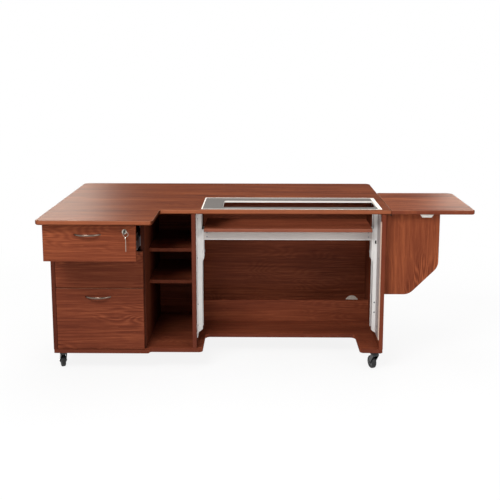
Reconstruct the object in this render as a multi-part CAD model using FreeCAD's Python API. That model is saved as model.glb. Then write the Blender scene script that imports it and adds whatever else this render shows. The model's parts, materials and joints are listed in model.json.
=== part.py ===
import FreeCAD, Part
import math
import os

# Sewing cabinet on casters: an L-shaped worktop with a drop leaf on a swing-out gate, a drawer
# pedestal, a shelf bay and a knee hole with a machine lift. Millimetres, +Z up, floor at zero,
# X along the width, the user sits at the -Y side. The origin is the middle of the footprint.
# Rest pose: leaf up, gate out, lift at flat-bed height, top drawer drawn out.

Vec = FreeCAD.Vector
X_DIR = Vec(1, 0, 0)
Y_DIR = Vec(0, 1, 0)
Z_DIR = Vec(0, 0, 1)

# General
table_height = 762.0
panel_t = 18.0
overrun = 5.0
tiny = 0.001
run_fit = 0.05

# Worktop
top_t = 20.0
main_depth = 765.0
wing_depth = 251.5
wing_width = 499.0
top_edge_round = 3.0
top_under_round = 8.0
top_front_corner = 20.0
top_inner_corner = 12.0
top_back_corner = 28.0
left_overhang = 1.0
gate_pocket = 20.3

# Drop leaf
seam_gap = 2.4
leaf_width = 374.5
leaf_depth = 467.5
leaf_front_corner = 14.0
leaf_back_corner = 35.0

# Machine opening and lift-out insert
opening_left_margin = 25.0
opening_right_margin = 3.0
opening_front_margin = 19.5
opening_depth = 299.5
ledge = 8.0
insert_t = 8.0
insert_gap = 0.75
hole_left_margin = 96.5
hole_right_margin = 19.0
hole_front_margin = 54.5
hole_back_margin = 85.5
hole_corner = 8.0

# Carcass
drawer_bay = 390.5
shelf_bay = 213.7
knee_hole = 841.0
carcass_setback = 1.5
carcass_depth = 560.0
back_t = 16.0
base_t = 18.0
foot_left = 27.0
foot_right = 86.0
foot_corner = 18.0
knee_edge = 209.0
knee_corner = 26.0
base_corner = 6.0
base_step_shift = 14.0

# Cable rail, raceway and grommet
rail_front = 403.0
rail_t = 16.0
rail_height = 110.5
raceway_w = 14.0
raceway_t = 5.0
raceway_front = 3.0
raceway_low = 44.0
raceway_high = 36.0
raceway_round = 1.5
grommet_r = 30.0
grommet_flange = 4.0
grommet_flange_t = 3.0
grommet_wall = 2.5
grommet_cap_t = 2.5
grommet_from_right = 67.5
grommet_rise = 60.0
grommet_notch_w = 18.0
grommet_notch_h = 12.0

# Shelves
shelf_t = 16.0
shelf_setback = 145.0
shelf_gap = 0.5
upper_shelf_rise = 441.0
lower_shelf_rise = 286.5
shelf_pin_r = 2.5
shelf_pin_out = 8.0
shelf_pin_in = 9.0
shelf_pin_inset = 45.0

# Drawers
front_t = 18.0
front_gap = 3.0
front_side_gap = 1.5
front_overlap = 10.5
front_stop_gap = 1.0
front_round = 1.2
file_front_share = 0.46875
middle_front_share = 0.27375
top_front_share = 0.2575
front_floor_gap = 3.0
front_top_gap = 8.8
box_wall = 12.0
box_depth = 450.0
box_rise = 14.0
box_floor_t = 6.0
box_floor_rise = 8.0
file_box_share = 0.735
middle_box_share = 0.684
top_box_share = 0.427
top_rest_pull = 190.0

# Telescopic drawer slides
slide_t = 12.7
slide_h = 45.0
slide_len = 450.0
slide_wall = 1.2
slide_play = 0.4
slide_rise = 30.0
slide_outer_reach = 9.4
slide_mid_reach = 9.2
slide_mid_share = 0.5

# Bow pulls
pull_span = 118.0
pull_foot = 9.0
pull_reach = 26.0
pull_bar = 5.5
pull_h = 9.0
pull_round = 2.0
pull_drop = 40.0
middle_pull_drop = 32.0
pull_shift = 7.0

# Drawer lock with its keys
lock_from_edge = 47.0
lock_drop = 27.0
lock_r = 8.5
rosette_r = 10.5
rosette_t = 2.0
lock_back = 5.0
plug_r = 6.0
plug_tail = 4.0
cam_t = 2.0
cam_w = 9.0
cam_len = 41.0
strike_t = 1.0
strike_w = 12.0
strike_above = 14.0
strike_below = 29.5
slot_w = 6.0
slot_deep = 9.0
slot_above = 8.0
slot_below = 28.0
key_t = 2.0
key_blade_h = 7.0
key_blade_in = 14.0
bow_r = 9.5
bow_hole_r = 2.9
bow_reach = 16.0
ring_r = 11.0
ring_wire_r = 0.7
ring_lean_deg = 45.0
spare_len = 62.0
spare_hang = 0.1

# Machine lift
column_setback = 118.0
column_w = 20.0
column_d = 70.0
column_wall = 2.0
column_lip = 18.0
column_flange = 85.0
column_flange_corner = 12.0
column_foot_outer = 38.0
column_foot_inner = 53.0
column_top_gap = 1.0
carriage_drop = 152.5
carriage_t = 7.5
carriage_gap = 0.6
carriage_d = 66.0
carriage_bump = 1.5
carriage_bump_drop = 110.0
carriage_bump_h = 14.0
carriage_hook = 5.0
carriage_hook_h = 9.0
neck_play = 0.6
shoe_play = 0.5
shoe_h = 40.0
shoe_upper_drop = 49.0
shoe_lower_drop = 109.0
platform_t = 16.0
platform_drop = 99.0
platform_front = 60.0
platform_depth = 240.0
platform_side_gap = 14.0
platform_round = 3.0
bar_h = 49.0
bar_d = 30.0
bar_wall = 2.0
bar_lip = 12.0
coil_r = 14.0
coil_hub_r = 5.0
coil_drop = 28.0
strip_t = 0.5
strip_w = 14.0
column_screw_r = 3.5
column_screw_t = 2.0
column_screw_shares = (0.152, 0.235)
flange_screw_shares = (0.06, 0.235, 0.62, 0.94)
keyhole_share = 0.73
keyhole_r = 4.5
keyhole_slot_w = 4.5
keyhole_slot_h = 12.0

# Swing-out gate
gate_t = 12.0
gate_width = 244.0
gate_height = 381.5
gate_top_gap = 1.0
gate_front = 45.0
gate_corner = 62.0
gate_chamfer = 131.0
gate_hinge_gap = 1.0
stop_w = 65.5
stop_bottom_w = 42.0
stop_h = 17.0
stop_d = 18.0
stop_from_seam = 132.0
stop_clear = 0.5

# Butt hinges
gate_knuckle_r = 2.5
gate_pin_r = 1.2
gate_hinge_len = 50.0
gate_hinge_w = 24.0
gate_hinge_rises = (60.0, 320.0)
leaf_knuckle_r = 3.2
leaf_pin_r = 1.6
leaf_hinge_len = 32.0
leaf_hinge_w = 13.0
leaf_hinge_places = (24.0, 345.0, 440.0)
hinge_plate_t = 1.4
knuckle_play = 0.3
plate_clear = 1.0

# Top fixing brackets
bracket_leg = 24.0
bracket_w = 20.0
bracket_t = 2.0
bracket_shares = (0.2, 0.8)

# Casters
caster_height = 90.7
caster_plate = 50.0
caster_plate_t = 3.0
race_r = 19.0
race_h = 9.0
race_play = 0.4
stem_r = 4.0
crown_r = 17.0
crown_h = 8.0
ear_t = 3.0
ear_r = 9.0
ear_top = 26.0
wheel_r = 30.0
wheel_w = 22.0
wheel_play = 1.0
wheel_round = 4.0
wheel_dish = 3.0
wheel_rim = 9.0
axle_r = 3.0
axle_head_r = 5.0
axle_head_t = 1.6
caster_trail = 26.0
caster_heading_deg = 20.0
caster_side_inset = 32.0
caster_front_inset = 28.0
caster_back_inset = 42.0

# Stations along X
main_width = (left_overhang + panel_t + drawer_bay + panel_t + shelf_bay + panel_t + knee_hole
              + panel_t + gate_pocket)
overall_width = main_width + seam_gap + leaf_width
x_top0 = -overall_width / 2
x_left0 = x_top0 + left_overhang
x_left1 = x_left0 + panel_t
x_div0 = x_left1 + drawer_bay
x_div1 = x_div0 + panel_t
x_knee0 = x_div1 + shelf_bay
x_knee1 = x_knee0 + panel_t
x_right0 = x_knee1 + knee_hole
x_right1 = x_right0 + panel_t
x_top1 = x_right1 + gate_pocket
x_leaf0 = x_top1 + seam_gap
x_leaf1 = x_leaf0 + leaf_width
x_seam = x_top1 + seam_gap / 2

# Stations along Y
overall_depth = wing_depth + main_depth
y_wing = -overall_depth / 2
y_main = y_wing + wing_depth
y_back = y_main + main_depth
y_carcass = y_main + carcass_setback
y_front = y_carcass - front_stop_gap - front_t
y_case_back = y_carcass + carcass_depth
y_inner_back = y_case_back - back_t
y_column = y_main + column_setback
y_lift = y_column + column_d / 2

# Stations along Z
z_base0 = caster_height
z_base1 = z_base0 + base_t
z_top1 = table_height
z_top0 = z_top1 - top_t
z_file0 = z_base1 + front_floor_gap
front_stack = z_top0 - front_top_gap - z_file0 - front_gap - front_gap
file_front = front_stack * file_front_share
middle_front = front_stack * middle_front_share
top_front = front_stack * top_front_share
file_box = file_front * file_box_share
middle_box = middle_front * middle_box_share
top_box = top_front * top_box_share
z_middle0 = z_file0 + file_front + front_gap
z_drawer0 = z_middle0 + middle_front + front_gap
z_platform1 = z_top1 - platform_drop
z_platform0 = z_platform1 - platform_t

# Machine opening in the worktop
x_open0 = x_knee1 + opening_left_margin
x_open1 = x_right0 + opening_right_margin
y_open0 = y_main + opening_front_margin
y_open1 = y_open0 + opening_depth

# Drawer fronts and boxes
x_front0 = x_left1 + front_side_gap
x_front1 = x_div0 + front_overlap
x_pull_mid = (x_front0 + x_front1) / 2 - pull_shift
x_box0 = x_left1 + slide_t
x_box1 = x_div0 - slide_t

# Lock axis on the drawn-out top drawer
x_lock = x_front1 - lock_from_edge
z_lock = z_drawer0 + top_front - lock_drop
y_lock_face = y_front - top_rest_pull
y_bow = y_lock_face - bow_reach
y_plug_end = y_lock_face + front_t + lock_back + plug_tail

# Gate pivot: the gate folds back flat beside the right panel
x_gate_pin = x_right1 + gate_knuckle_r
y_gate_pin = y_main + gate_front + gate_t + gate_knuckle_r
z_gate1 = z_top0 - gate_top_gap
z_gate0 = z_gate1 - gate_height


def slab(x0, x1, y0, y1, z0, z1):
    """Rectangular board between two opposite corners."""
    return Part.makeBox(x1 - x0, y1 - y0, z1 - z0, Vec(x0, y0, z0))


def rod(start, axis, radius, length):
    """Round bar from a start point along an axis."""
    return Part.makeCylinder(radius, length, start, axis)


def tube(start, axis, outer, inner, length):
    """Round bar with a bore through it."""
    bore = rod(start - axis * overrun, axis, inner, length + overrun + overrun)
    return rod(start, axis, outer, length).cut(bore)


def on_xy(z):
    """Plan placement at one height."""
    return lambda a, b: Vec(a, b, z)


def on_xz(y):
    """Front-view placement at one depth."""
    return lambda a, b: Vec(a, y, b)


def on_yz(x):
    """Side-view placement at one station along the width."""
    return lambda a, b: Vec(x, a, b)


def outline(corners, place):
    """Closed face through corners (a, b, radius), each corner rounded by a tangent arc."""
    points = [Vec(a, b, 0) for a, b, radius in corners]
    starts = []
    ends = []
    middles = []
    for index, corner in enumerate(corners):
        here = points[index]
        back = (points[index - 1] - here).normalize()
        ahead = (points[(index + 1) % len(points)] - here).normalize()
        half_angle = back.getAngle(ahead) / 2
        reach = corner[2] / math.tan(half_angle)
        starts.append(here + back * reach)
        ends.append(here + ahead * reach)
        bisector = (back + ahead).normalize()
        middles.append(here + bisector * (corner[2] / math.sin(half_angle) - corner[2]))
    edges = []
    for index, corner in enumerate(corners):
        start, middle, end = (place(p.x, p.y) for p in (starts[index], middles[index], ends[index]))
        if corner[2] > 0:
            edges.append(Part.Arc(start, middle, end).toShape())
        following = starts[(index + 1) % len(corners)]
        next_start = place(following.x, following.y)
        if end.distanceToPoint(next_start) > tiny:
            edges.append(Part.LineSegment(end, next_start).toShape())
    return Part.Face(Part.Wire(edges))


def prism(corners, place, sweep):
    """Solid swept from a rounded outline."""
    return outline(corners, place).extrude(sweep)


def soften(solid, radius, wanted):
    """Round the edges that a test picks."""
    return solid.makeFillet(radius, [edge for edge in solid.Edges if wanted(edge)])


def is_level(edge):
    """True for an edge that lies at one height."""
    return edge.BoundBox.ZLength < tiny


def lies_at(edge, z):
    """True for a level edge at a given height."""
    return is_level(edge) and abs(edge.BoundBox.ZMin - z) < tiny


def faces_user(y):
    """Test for edges that lie in the plane at one depth."""
    return lambda edge: edge.BoundBox.YLength < tiny and abs(edge.BoundBox.YMin - y) < tiny


def group(solids):
    """Separate solids that share one node."""
    return Part.makeCompound(solids)


def fused(solids):
    """One solid from several that overlap or touch."""
    return solids[0].fuse(solids[1:]).removeSplitter()


def under_rounded(corners, x_square):
    """Board at worktop height with its lower edge rounded, but for the square one along the seam."""
    def wanted(edge):
        box = edge.BoundBox
        square = box.XLength < tiny and abs(box.XMin - x_square) < tiny
        return lies_at(edge, z_top0) and not square

    return soften(prism(corners, on_xy(z_top0), Z_DIR * top_t), top_under_round, wanted)


def arris_softened(board):
    """Board with the arris round its upper face softened."""
    return soften(board, top_edge_round, lambda edge: lies_at(edge, z_top1))


def table_top():
    """L-shaped worktop with its rebated machine opening."""
    corners = [
        (x_top0, y_wing, top_front_corner),
        (x_top0 + wing_width, y_wing, top_front_corner),
        (x_top0 + wing_width, y_main, top_inner_corner),
        (x_top1, y_main, 0),
        (x_top1, y_back, 0),
        (x_top0, y_back, top_back_corner),
    ]
    x_turn = x_top1 - top_back_corner
    y_turn = y_back - top_back_corner
    turn = rod(Vec(x_turn, y_turn, z_top0 - overrun), Z_DIR, top_back_corner, top_t + overrun + overrun)
    corner = slab(x_turn, x_top1 + overrun, y_turn, y_back + overrun, z_top0 - overrun, z_top1 + overrun)
    board = arris_softened(under_rounded(corners, x_top1).cut(corner.cut(turn)))
    rebate = slab(x_open0, x_open1, y_open0, y_open1, z_top1 - insert_t, z_top1 + overrun)
    well = slab(x_open0 + ledge, x_open1 - ledge, y_open0 + ledge, y_open1 - ledge,
                z_top0 - overrun, z_top1)
    return board.cut(rebate).cut(well)


def acrylic_insert():
    """Frosted sheet that closes the opening round the machine and lifts out."""
    x0, x1 = x_open0 + insert_gap, x_open1 - insert_gap
    y0, y1 = y_open0 + insert_gap, y_open1 - insert_gap
    sheet = slab(x0, x1, y0, y1, z_top1 - insert_t, z_top1)
    hole = [
        (x_open0 + hole_left_margin, y_open0 + hole_front_margin, hole_corner),
        (x_open1 - hole_right_margin, y_open0 + hole_front_margin, hole_corner),
        (x_open1 - hole_right_margin, y_open1 - hole_back_margin, hole_corner),
        (x_open0 + hole_left_margin, y_open1 - hole_back_margin, hole_corner),
    ]
    below = z_top1 - insert_t - overrun
    return sheet.cut(prism(hole, on_xy(below), Z_DIR * (insert_t + overrun + overrun)))


def drop_leaf():
    """Side leaf in line with the worktop's front edge."""
    corners = [
        (x_leaf0, y_main, 0),
        (x_leaf1, y_main, leaf_front_corner),
        (x_leaf1, y_main + leaf_depth, leaf_back_corner),
        (x_leaf0, y_main + leaf_depth, 0),
    ]
    return arris_softened(under_rounded(corners, x_leaf0))


def base_plate():
    """Floor board: deep under the pedestal, cut back to a curved bay in the knee hole."""
    x_step = x_div1 + base_step_shift
    step_round = (y_carcass - y_front) / 2
    corners = [
        (x_left0, y_front, base_corner),
        (x_step, y_front, step_round),
        (x_step, y_carcass, step_round),
        (x_knee1 + foot_left, y_carcass, foot_corner),
        (x_knee1 + foot_left, y_main + knee_edge, knee_corner),
        (x_right0 - foot_right, y_main + knee_edge, knee_corner),
        (x_right0 - foot_right, y_carcass, foot_corner),
        (x_right1, y_carcass, base_corner),
        (x_right1, y_case_back, base_corner),
        (x_left0, y_case_back, base_corner),
    ]
    return prism(corners, on_xy(z_base0), Z_DIR * base_t)


def left_side_panel():
    """Outer side of the pedestal, which also covers the ends of the drawer fronts."""
    return slab(x_left0, x_left1, y_front, y_case_back, z_base1, z_top0)


def drawer_divider():
    """Wall between drawers and shelves, with the lock's slot and the shelf pin holes."""
    wall = slab(x_div0, x_div1, y_carcass, y_inner_back, z_base1, z_top0)
    y_cam = y_plug_end - cam_t / 2 + top_rest_pull
    slot = slab(x_div0 - overrun, x_div0 + slot_deep, y_cam - slot_w / 2, y_cam + slot_w / 2,
                z_lock - slot_below, z_lock + slot_above)
    return wall.cut(slot).cut(shelf_pin_holes())


def knee_panel():
    """Wall between the shelf bay and the knee hole."""
    wall = slab(x_knee0, x_knee1, y_carcass, y_case_back, z_base1, z_top0)
    return wall.cut(shelf_pin_holes())


def right_side_panel():
    """Right end of the cabinet; the lift runs on its inner face, the gate on its outer one."""
    return slab(x_right0, x_right1, y_carcass, y_case_back, z_base1, z_top0)


def pedestal_back_panel():
    """Back of the drawers and the shelf bay."""
    return slab(x_left1, x_knee0, y_inner_back, y_case_back, z_base1, z_top0)


def grommet_centre():
    """Middle of the cable hole on the inner face of the back."""
    return Vec(x_right0 - grommet_from_right, y_inner_back, z_base1 + grommet_rise)


def knee_back_panel():
    """Back of the knee hole with the cable hole."""
    back = slab(x_knee1, x_right0, y_inner_back, y_case_back, z_base1, z_top0)
    start = grommet_centre() - Y_DIR * overrun
    return back.cut(rod(start, Y_DIR, grommet_r + run_fit, back_t + overrun + overrun))


def cable_grommet():
    """Flanged liner in the cable hole and its notched cap."""
    centre = grommet_centre()
    inner = grommet_r - grommet_wall
    sleeve = tube(centre, Y_DIR, grommet_r, inner, back_t)
    flange_start = centre - Y_DIR * grommet_flange_t
    flange = tube(flange_start, Y_DIR, grommet_r + grommet_flange, inner, grommet_flange_t)
    cap = rod(flange_start, Y_DIR, inner - run_fit, grommet_cap_t)
    notch = slab(centre.x - grommet_notch_w / 2, centre.x + grommet_notch_w / 2,
                 flange_start.y - overrun, centre.y + overrun,
                 centre.z - grommet_r, centre.z - grommet_r + grommet_wall + grommet_notch_h)
    return group([fused([sleeve, flange]), cap.cut(notch)])


def cable_rail():
    """Upright board that keeps cables behind the user's feet."""
    y0 = y_main + rail_front
    return slab(x_knee1, x_right0, y0, y0 + rail_t, z_base1, z_base1 + rail_height)


def cable_raceway():
    """Slim strip that hides a lead on the right panel's inner face."""
    y0 = y_carcass + raceway_front
    strip = slab(x_right0 - raceway_t, x_right0, y0, y0 + raceway_w,
                 z_base1 + raceway_low, z_top0 - raceway_high)
    x_face = x_right0 - raceway_t
    return soften(strip, raceway_round, lambda edge: edge.BoundBox.XMax < x_face + tiny)


def shelf_pins_at(rise):
    """Four pins under one shelf, two in each wall."""
    z = z_base1 + rise - shelf_t - shelf_pin_r
    y_pins = (y_carcass + shelf_setback + shelf_pin_inset, y_inner_back - shelf_pin_inset)
    length = shelf_pin_in + shelf_pin_out
    pins = []
    for y in y_pins:
        pins.append(rod(Vec(x_div1 - shelf_pin_in, y, z), X_DIR, shelf_pin_r, length))
        pins.append(rod(Vec(x_knee0 - shelf_pin_out, y, z), X_DIR, shelf_pin_r, length))
    return pins


def shelf_pins():
    """All eight shelf pins."""
    return group(shelf_pins_at(upper_shelf_rise) + shelf_pins_at(lower_shelf_rise))


def shelf_pin_holes():
    """Cutter for the pin holes in both walls of the shelf bay."""
    holes = []
    for pin in shelf_pins_at(upper_shelf_rise) + shelf_pins_at(lower_shelf_rise):
        box = pin.BoundBox
        middle = Vec(box.XMin - run_fit, (box.YMin + box.YMax) / 2, (box.ZMin + box.ZMax) / 2)
        holes.append(rod(middle, X_DIR, shelf_pin_r + run_fit, box.XLength + run_fit + run_fit))
    return group(holes)


def shelves():
    """Two set-back shelves."""
    boards = []
    for rise in (upper_shelf_rise, lower_shelf_rise):
        z1 = z_base1 + rise
        boards.append(slab(x_div1 + shelf_gap, x_knee0 - shelf_gap, y_carcass + shelf_setback,
                           y_inner_back - shelf_gap, z1 - shelf_t, z1))
    return group(boards)


def channel(x_web, side, reach, half_height, z_mid, y0):
    """One slide member: a web with two flanges, open towards the given side."""
    x_tip = x_web + side * reach
    x_wall = x_web + side * slide_wall
    body = slab(min(x_web, x_tip), max(x_web, x_tip), y0, y0 + slide_len,
                z_mid - half_height, z_mid + half_height)
    hollow_tip = x_tip + side * overrun
    hollow = slab(min(x_wall, hollow_tip), max(x_wall, hollow_tip), y0 - overrun,
                  y0 + slide_len + overrun,
                  z_mid - half_height + slide_wall, z_mid + half_height - slide_wall)
    return body.cut(hollow)


def slide_outer(z0):
    """Pair of fixed slide members on the bay's walls."""
    z_mid = z0 + box_rise + slide_rise
    return [channel(x_left1, 1, slide_outer_reach, slide_h / 2, z_mid, y_carcass),
            channel(x_div0, -1, slide_outer_reach, slide_h / 2, z_mid, y_carcass)]


def slide_outer_rails():
    """Fixed members of all three pairs of slides."""
    return group(slide_outer(z_file0) + slide_outer(z_middle0) + slide_outer(z_drawer0))


def slide_mid(z0, pull):
    """Pair of travelling members, which run half as far as the drawer."""
    z_mid = z0 + box_rise + slide_rise
    y0 = y_carcass - pull * slide_mid_share
    inset = slide_wall + slide_play
    half_height = slide_h / 2 - inset
    return group([channel(x_left1 + inset, 1, slide_mid_reach, half_height, z_mid, y0),
                  channel(x_div0 - inset, -1, slide_mid_reach, half_height, z_mid, y0)])


def slide_inner(z0, pull):
    """Pair of members on the drawer's sides."""
    z_mid = z0 + box_rise + slide_rise
    y0 = y_carcass - pull
    inset = slide_wall + slide_play
    half_height = slide_h / 2 - inset - inset
    reach = slide_t - inset - inset - slide_play
    return group([channel(x_box0, -1, reach, half_height, z_mid, y0),
                  channel(x_box1, 1, reach, half_height, z_mid, y0)])


def drawer_front(z0, height, pull):
    """Drawer front with softened edges towards the user."""
    y0 = y_front - pull
    board = slab(x_front0, x_front1, y0, y0 + front_t, z0, z0 + height)
    return soften(board, front_round, faces_user(y0))


def drawer_front_top():
    """Top drawer front, bored for the lock."""
    bore = rod(Vec(x_lock, y_lock_face - overrun, z_lock), Y_DIR, lock_r + run_fit,
               front_t + overrun + overrun)
    return drawer_front(z_drawer0, top_front, top_rest_pull).cut(bore)


def drawer_box(z0, height, pull):
    """Drawer box: two sides, a back and a bottom; the front closes it."""
    y0 = y_front + front_t - pull
    y1 = y_carcass + box_depth - pull
    z_low = z0 + box_rise
    z_high = z_low + height
    z_floor = z_low + box_floor_rise
    inner0 = x_box0 + box_wall
    inner1 = x_box1 - box_wall
    return group([
        slab(x_box0, inner0, y0, y1, z_low, z_high),
        slab(inner1, x_box1, y0, y1, z_low, z_high),
        slab(inner0, inner1, y1 - box_wall, y1, z_low, z_high),
        slab(inner0, inner1, y0, y1 - box_wall, z_floor, z_floor + box_floor_t),
    ])


def bow_pull(z0, height, pull, drop):
    """Bow-shaped pull: a bar between two arcs that ends in flat feet."""
    y_face = y_front - pull
    z_low = z0 + height - drop - pull_h / 2
    half = pull_span / 2
    inner = half - pull_foot
    place = on_xy(z_low)
    edges = [
        Part.Arc(place(x_pull_mid - half, y_face), place(x_pull_mid, y_face - pull_reach),
                 place(x_pull_mid + half, y_face)).toShape(),
        Part.LineSegment(place(x_pull_mid + half, y_face),
                         place(x_pull_mid + inner, y_face)).toShape(),
        Part.Arc(place(x_pull_mid + inner, y_face),
                 place(x_pull_mid, y_face - pull_reach + pull_bar),
                 place(x_pull_mid - inner, y_face)).toShape(),
        Part.LineSegment(place(x_pull_mid - inner, y_face),
                         place(x_pull_mid - half, y_face)).toShape(),
    ]
    bar = Part.Face(Part.Wire(edges)).extrude(Z_DIR * pull_h)
    rims = [edge for edge in bar.Edges if is_level(edge) and edge.BoundBox.YLength > pull_bar]
    return bar.makeChamfer(pull_round, rims)


def lock_body():
    """Lock cylinder with its rosette, bored for the plug."""
    start = Vec(x_lock, y_lock_face - rosette_t, z_lock)
    bore = plug_r + run_fit
    rosette = tube(start, Y_DIR, rosette_r, bore, rosette_t)
    barrel = tube(start, Y_DIR, lock_r, bore, rosette_t + front_t + lock_back)
    return fused([rosette, barrel])


def key_blade(y_tip):
    """Flat key blade from the bow to its tip inside the plug."""
    return slab(x_lock - key_t / 2, x_lock + key_t / 2, y_bow, y_tip,
                z_lock - key_blade_h / 2, z_lock + key_blade_h / 2)


def lock_plug():
    """Turning plug with its keyway, and the cam on its tail."""
    y0 = y_lock_face - rosette_t
    plug = rod(Vec(x_lock, y0, z_lock), Y_DIR, plug_r, y_plug_end - cam_t - y0)
    keyway = key_blade(y_lock_face + key_blade_in)
    cam = prism([
        (x_lock - cam_w / 2, z_lock + cam_w / 2, cam_w / 2 - tiny),
        (x_lock + cam_w / 2, z_lock + cam_w / 2, cam_w / 2 - tiny),
        (x_lock + cam_w / 2, z_lock - cam_len, cam_t),
        (x_lock - cam_w / 2, z_lock - cam_len, cam_t),
    ], on_xz(y_plug_end - cam_t), Y_DIR * cam_t)
    return group([plug.cut(keyway), cam])


def key():
    """Key in the lock: blade, neck and round bow with a ring hole."""
    blade = key_blade(y_lock_face + key_blade_in)
    start = Vec(x_lock - key_t / 2, y_bow, z_lock)
    bow = rod(start, X_DIR, bow_r, key_t)
    hole = rod(start - X_DIR * overrun, X_DIR, bow_hole_r, key_t + overrun + overrun)
    return fused([blade, bow]).cut(hole)


def ring_centre():
    """Middle of the key ring, which leans so that the key can turn through it."""
    lean = math.radians(ring_lean_deg)
    return Vec(x_lock + ring_r * math.sin(lean), y_bow, z_lock - ring_r * math.cos(lean))


def key_ring():
    """Wire ring through the key's bow, with the spare key hanging from it."""
    centre = ring_centre()
    wire = outline([
        (ring_r - ring_wire_r, -ring_wire_r, 0),
        (ring_r + ring_wire_r, -ring_wire_r, 0),
        (ring_r + ring_wire_r, ring_wire_r, 0),
        (ring_r - ring_wire_r, ring_wire_r, 0),
    ], lambda a, b: Vec(centre.x + a, centre.y + b, centre.z))
    ring = wire.revolve(centre, Y_DIR, math.degrees(math.tau))
    z_hole = centre.z - ring_r + ring_wire_r + spare_hang - bow_hole_r
    start = Vec(centre.x - key_t / 2, y_bow, z_hole)
    bow = rod(start - Z_DIR * (bow_r - bow_hole_r - key_t), X_DIR, bow_r, key_t)
    blade = slab(start.x, start.x + key_t, y_bow - key_blade_h / 2, y_bow + key_blade_h / 2,
                 z_hole - spare_len, z_hole - bow_r)
    hole = rod(start - X_DIR * overrun, X_DIR, bow_hole_r, key_t + overrun + overrun)
    return group([ring, fused([bow, blade]).cut(hole)])


def lock_strike():
    """Plate round the lock's slot on the divider."""
    y_cam = y_plug_end - cam_t / 2 + top_rest_pull
    plate = slab(x_div0 - strike_t, x_div0, y_cam - strike_w / 2, y_cam + strike_w / 2,
                 z_lock - strike_below, z_lock + strike_above)
    slot = slab(x_div0 - strike_t - overrun, x_div0 + overrun, y_cam - slot_w / 2,
                y_cam + slot_w / 2, z_lock - slot_below, z_lock + slot_above)
    return plate.cut(slot)


def column_rise(share):
    """Height at a share of the columns' length above the foot."""
    z_foot = z_base1 + column_foot_inner
    return z_foot + share * (z_top0 - column_top_gap - z_foot)


def column_face(side):
    """Depth of a column's screwed face and the way it looks: both columns are one pressing, so
    the left one, turned about, has that face at the back."""
    return (y_column, -1) if side < 0 else (y_column + column_d, 1)


def keyhole(x_wall, side):
    """Cutter for the keyhole that hangs the column while it is screwed on."""
    y_face, look = column_face(side)
    x_mid = x_wall + side * column_w / 2
    z = column_rise(keyhole_share)
    half = keyhole_slot_w / 2
    hole = rod(Vec(x_mid, y_face - overrun, z), Y_DIR, keyhole_r, overrun + overrun)
    slot = slab(x_mid - half, x_mid + half, y_face - overrun, y_face + overrun, z, z + keyhole_slot_h)
    return hole.fuse(slot)


def lift_column(x_wall, side):
    """Sheet-steel column: a C-channel with a flange along the wall on either side, its foot cut
    on a slant."""
    x_inner = x_wall + side * column_w
    y1 = y_column + column_d
    z0 = z_base1 + column_foot_outer
    z_inner = z_base1 + column_foot_inner
    z1 = z_top0 - column_top_gap
    body = prism([(x_wall, z0, 0), (x_inner, z_inner, 0), (x_inner, z1, 0), (x_wall, z1, 0)],
                 on_xz(y_column), Y_DIR * column_d)
    near = x_wall + side * column_wall
    far = x_inner - side * column_wall
    hollow = slab(min(near, far), max(near, far), y_column + column_wall, y1 - column_wall,
                  z0 - overrun, z1 + overrun)
    mouth = x_inner + side * overrun
    slot = slab(min(near, mouth), max(near, mouth), y_column + column_lip, y1 - column_lip,
                z0 - overrun, z1 + overrun)
    flanges = prism([
        (y_column - column_flange, z0, column_flange_corner),
        (y1 + column_flange, z0, column_flange_corner),
        (y1 + column_flange, z1, column_flange_corner),
        (y_column - column_flange, z1, column_flange_corner),
    ], on_yz(x_wall), X_DIR * side * column_wall)
    return fused([body.cut(hollow).cut(slot), flanges]).cut(keyhole(x_wall, side))


def lift_columns():
    """Both columns, facing each other across the knee hole."""
    return group([lift_column(x_knee1, 1), lift_column(x_right0, -1)])


def carriage(x_wall, side):
    """Carriage plate with its neck through the column's slot and a hooked lower end."""
    x_lip = x_wall + side * column_w
    x0 = x_lip + side * carriage_gap
    x1 = x0 + side * carriage_t
    z1 = z_platform0
    z0 = z1 - carriage_drop
    z_bump = z1 - carriage_bump_drop
    x_bump = x1 + side * carriage_bump
    plate = prism([
        (x0, z1, 0),
        (x1, z1, 0),
        (x1, z_bump, 0),
        (x_bump, z_bump - carriage_bump, 0),
        (x_bump, z_bump - carriage_bump_h, 0),
        (x1, z_bump - carriage_bump_h - carriage_bump, 0),
        (x1, z0 + carriage_hook_h, 0),
        (x1 - side * carriage_hook, z0, 0),
        (x0, z0 + carriage_hook_h, 0),
    ], on_xz(y_lift - carriage_d / 2), Y_DIR * carriage_d)
    x_neck = x_lip - side * (column_wall + neck_play)
    slot_half = column_d / 2 - column_lip - neck_play
    neck = slab(min(x_neck, x0), max(x_neck, x0), y_lift - slot_half, y_lift + slot_half,
                z1 - shoe_lower_drop - shoe_h, z1 - shoe_upper_drop)
    return fused([plate, neck])


def lift_carriages():
    """Both carriages."""
    return group([carriage(x_knee1, 1), carriage(x_right0, -1)])


def lift_shoes():
    """Guide shoes that ride inside the columns, two to a carriage."""
    shoes = []
    half_depth = column_d / 2 - column_wall - shoe_play
    for x_wall, side in ((x_knee1, 1), (x_right0, -1)):
        near = x_wall + side * (column_wall + shoe_play)
        far = x_wall + side * (column_w - column_wall - neck_play)
        for drop in (shoe_upper_drop, shoe_lower_drop):
            z1 = z_platform0 - drop
            shoes.append(slab(min(near, far), max(near, far), y_lift - half_depth,
                              y_lift + half_depth, z1 - shoe_h, z1))
    return group(shoes)


def lift_platform():
    """Board that carries the machine."""
    gap = column_w + platform_side_gap
    y0 = y_main + platform_front
    board = slab(x_knee1 + gap, x_right0 - gap, y0, y0 + platform_depth, z_platform0, z_platform1)
    return soften(board, platform_round, faces_user(y0))


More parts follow.
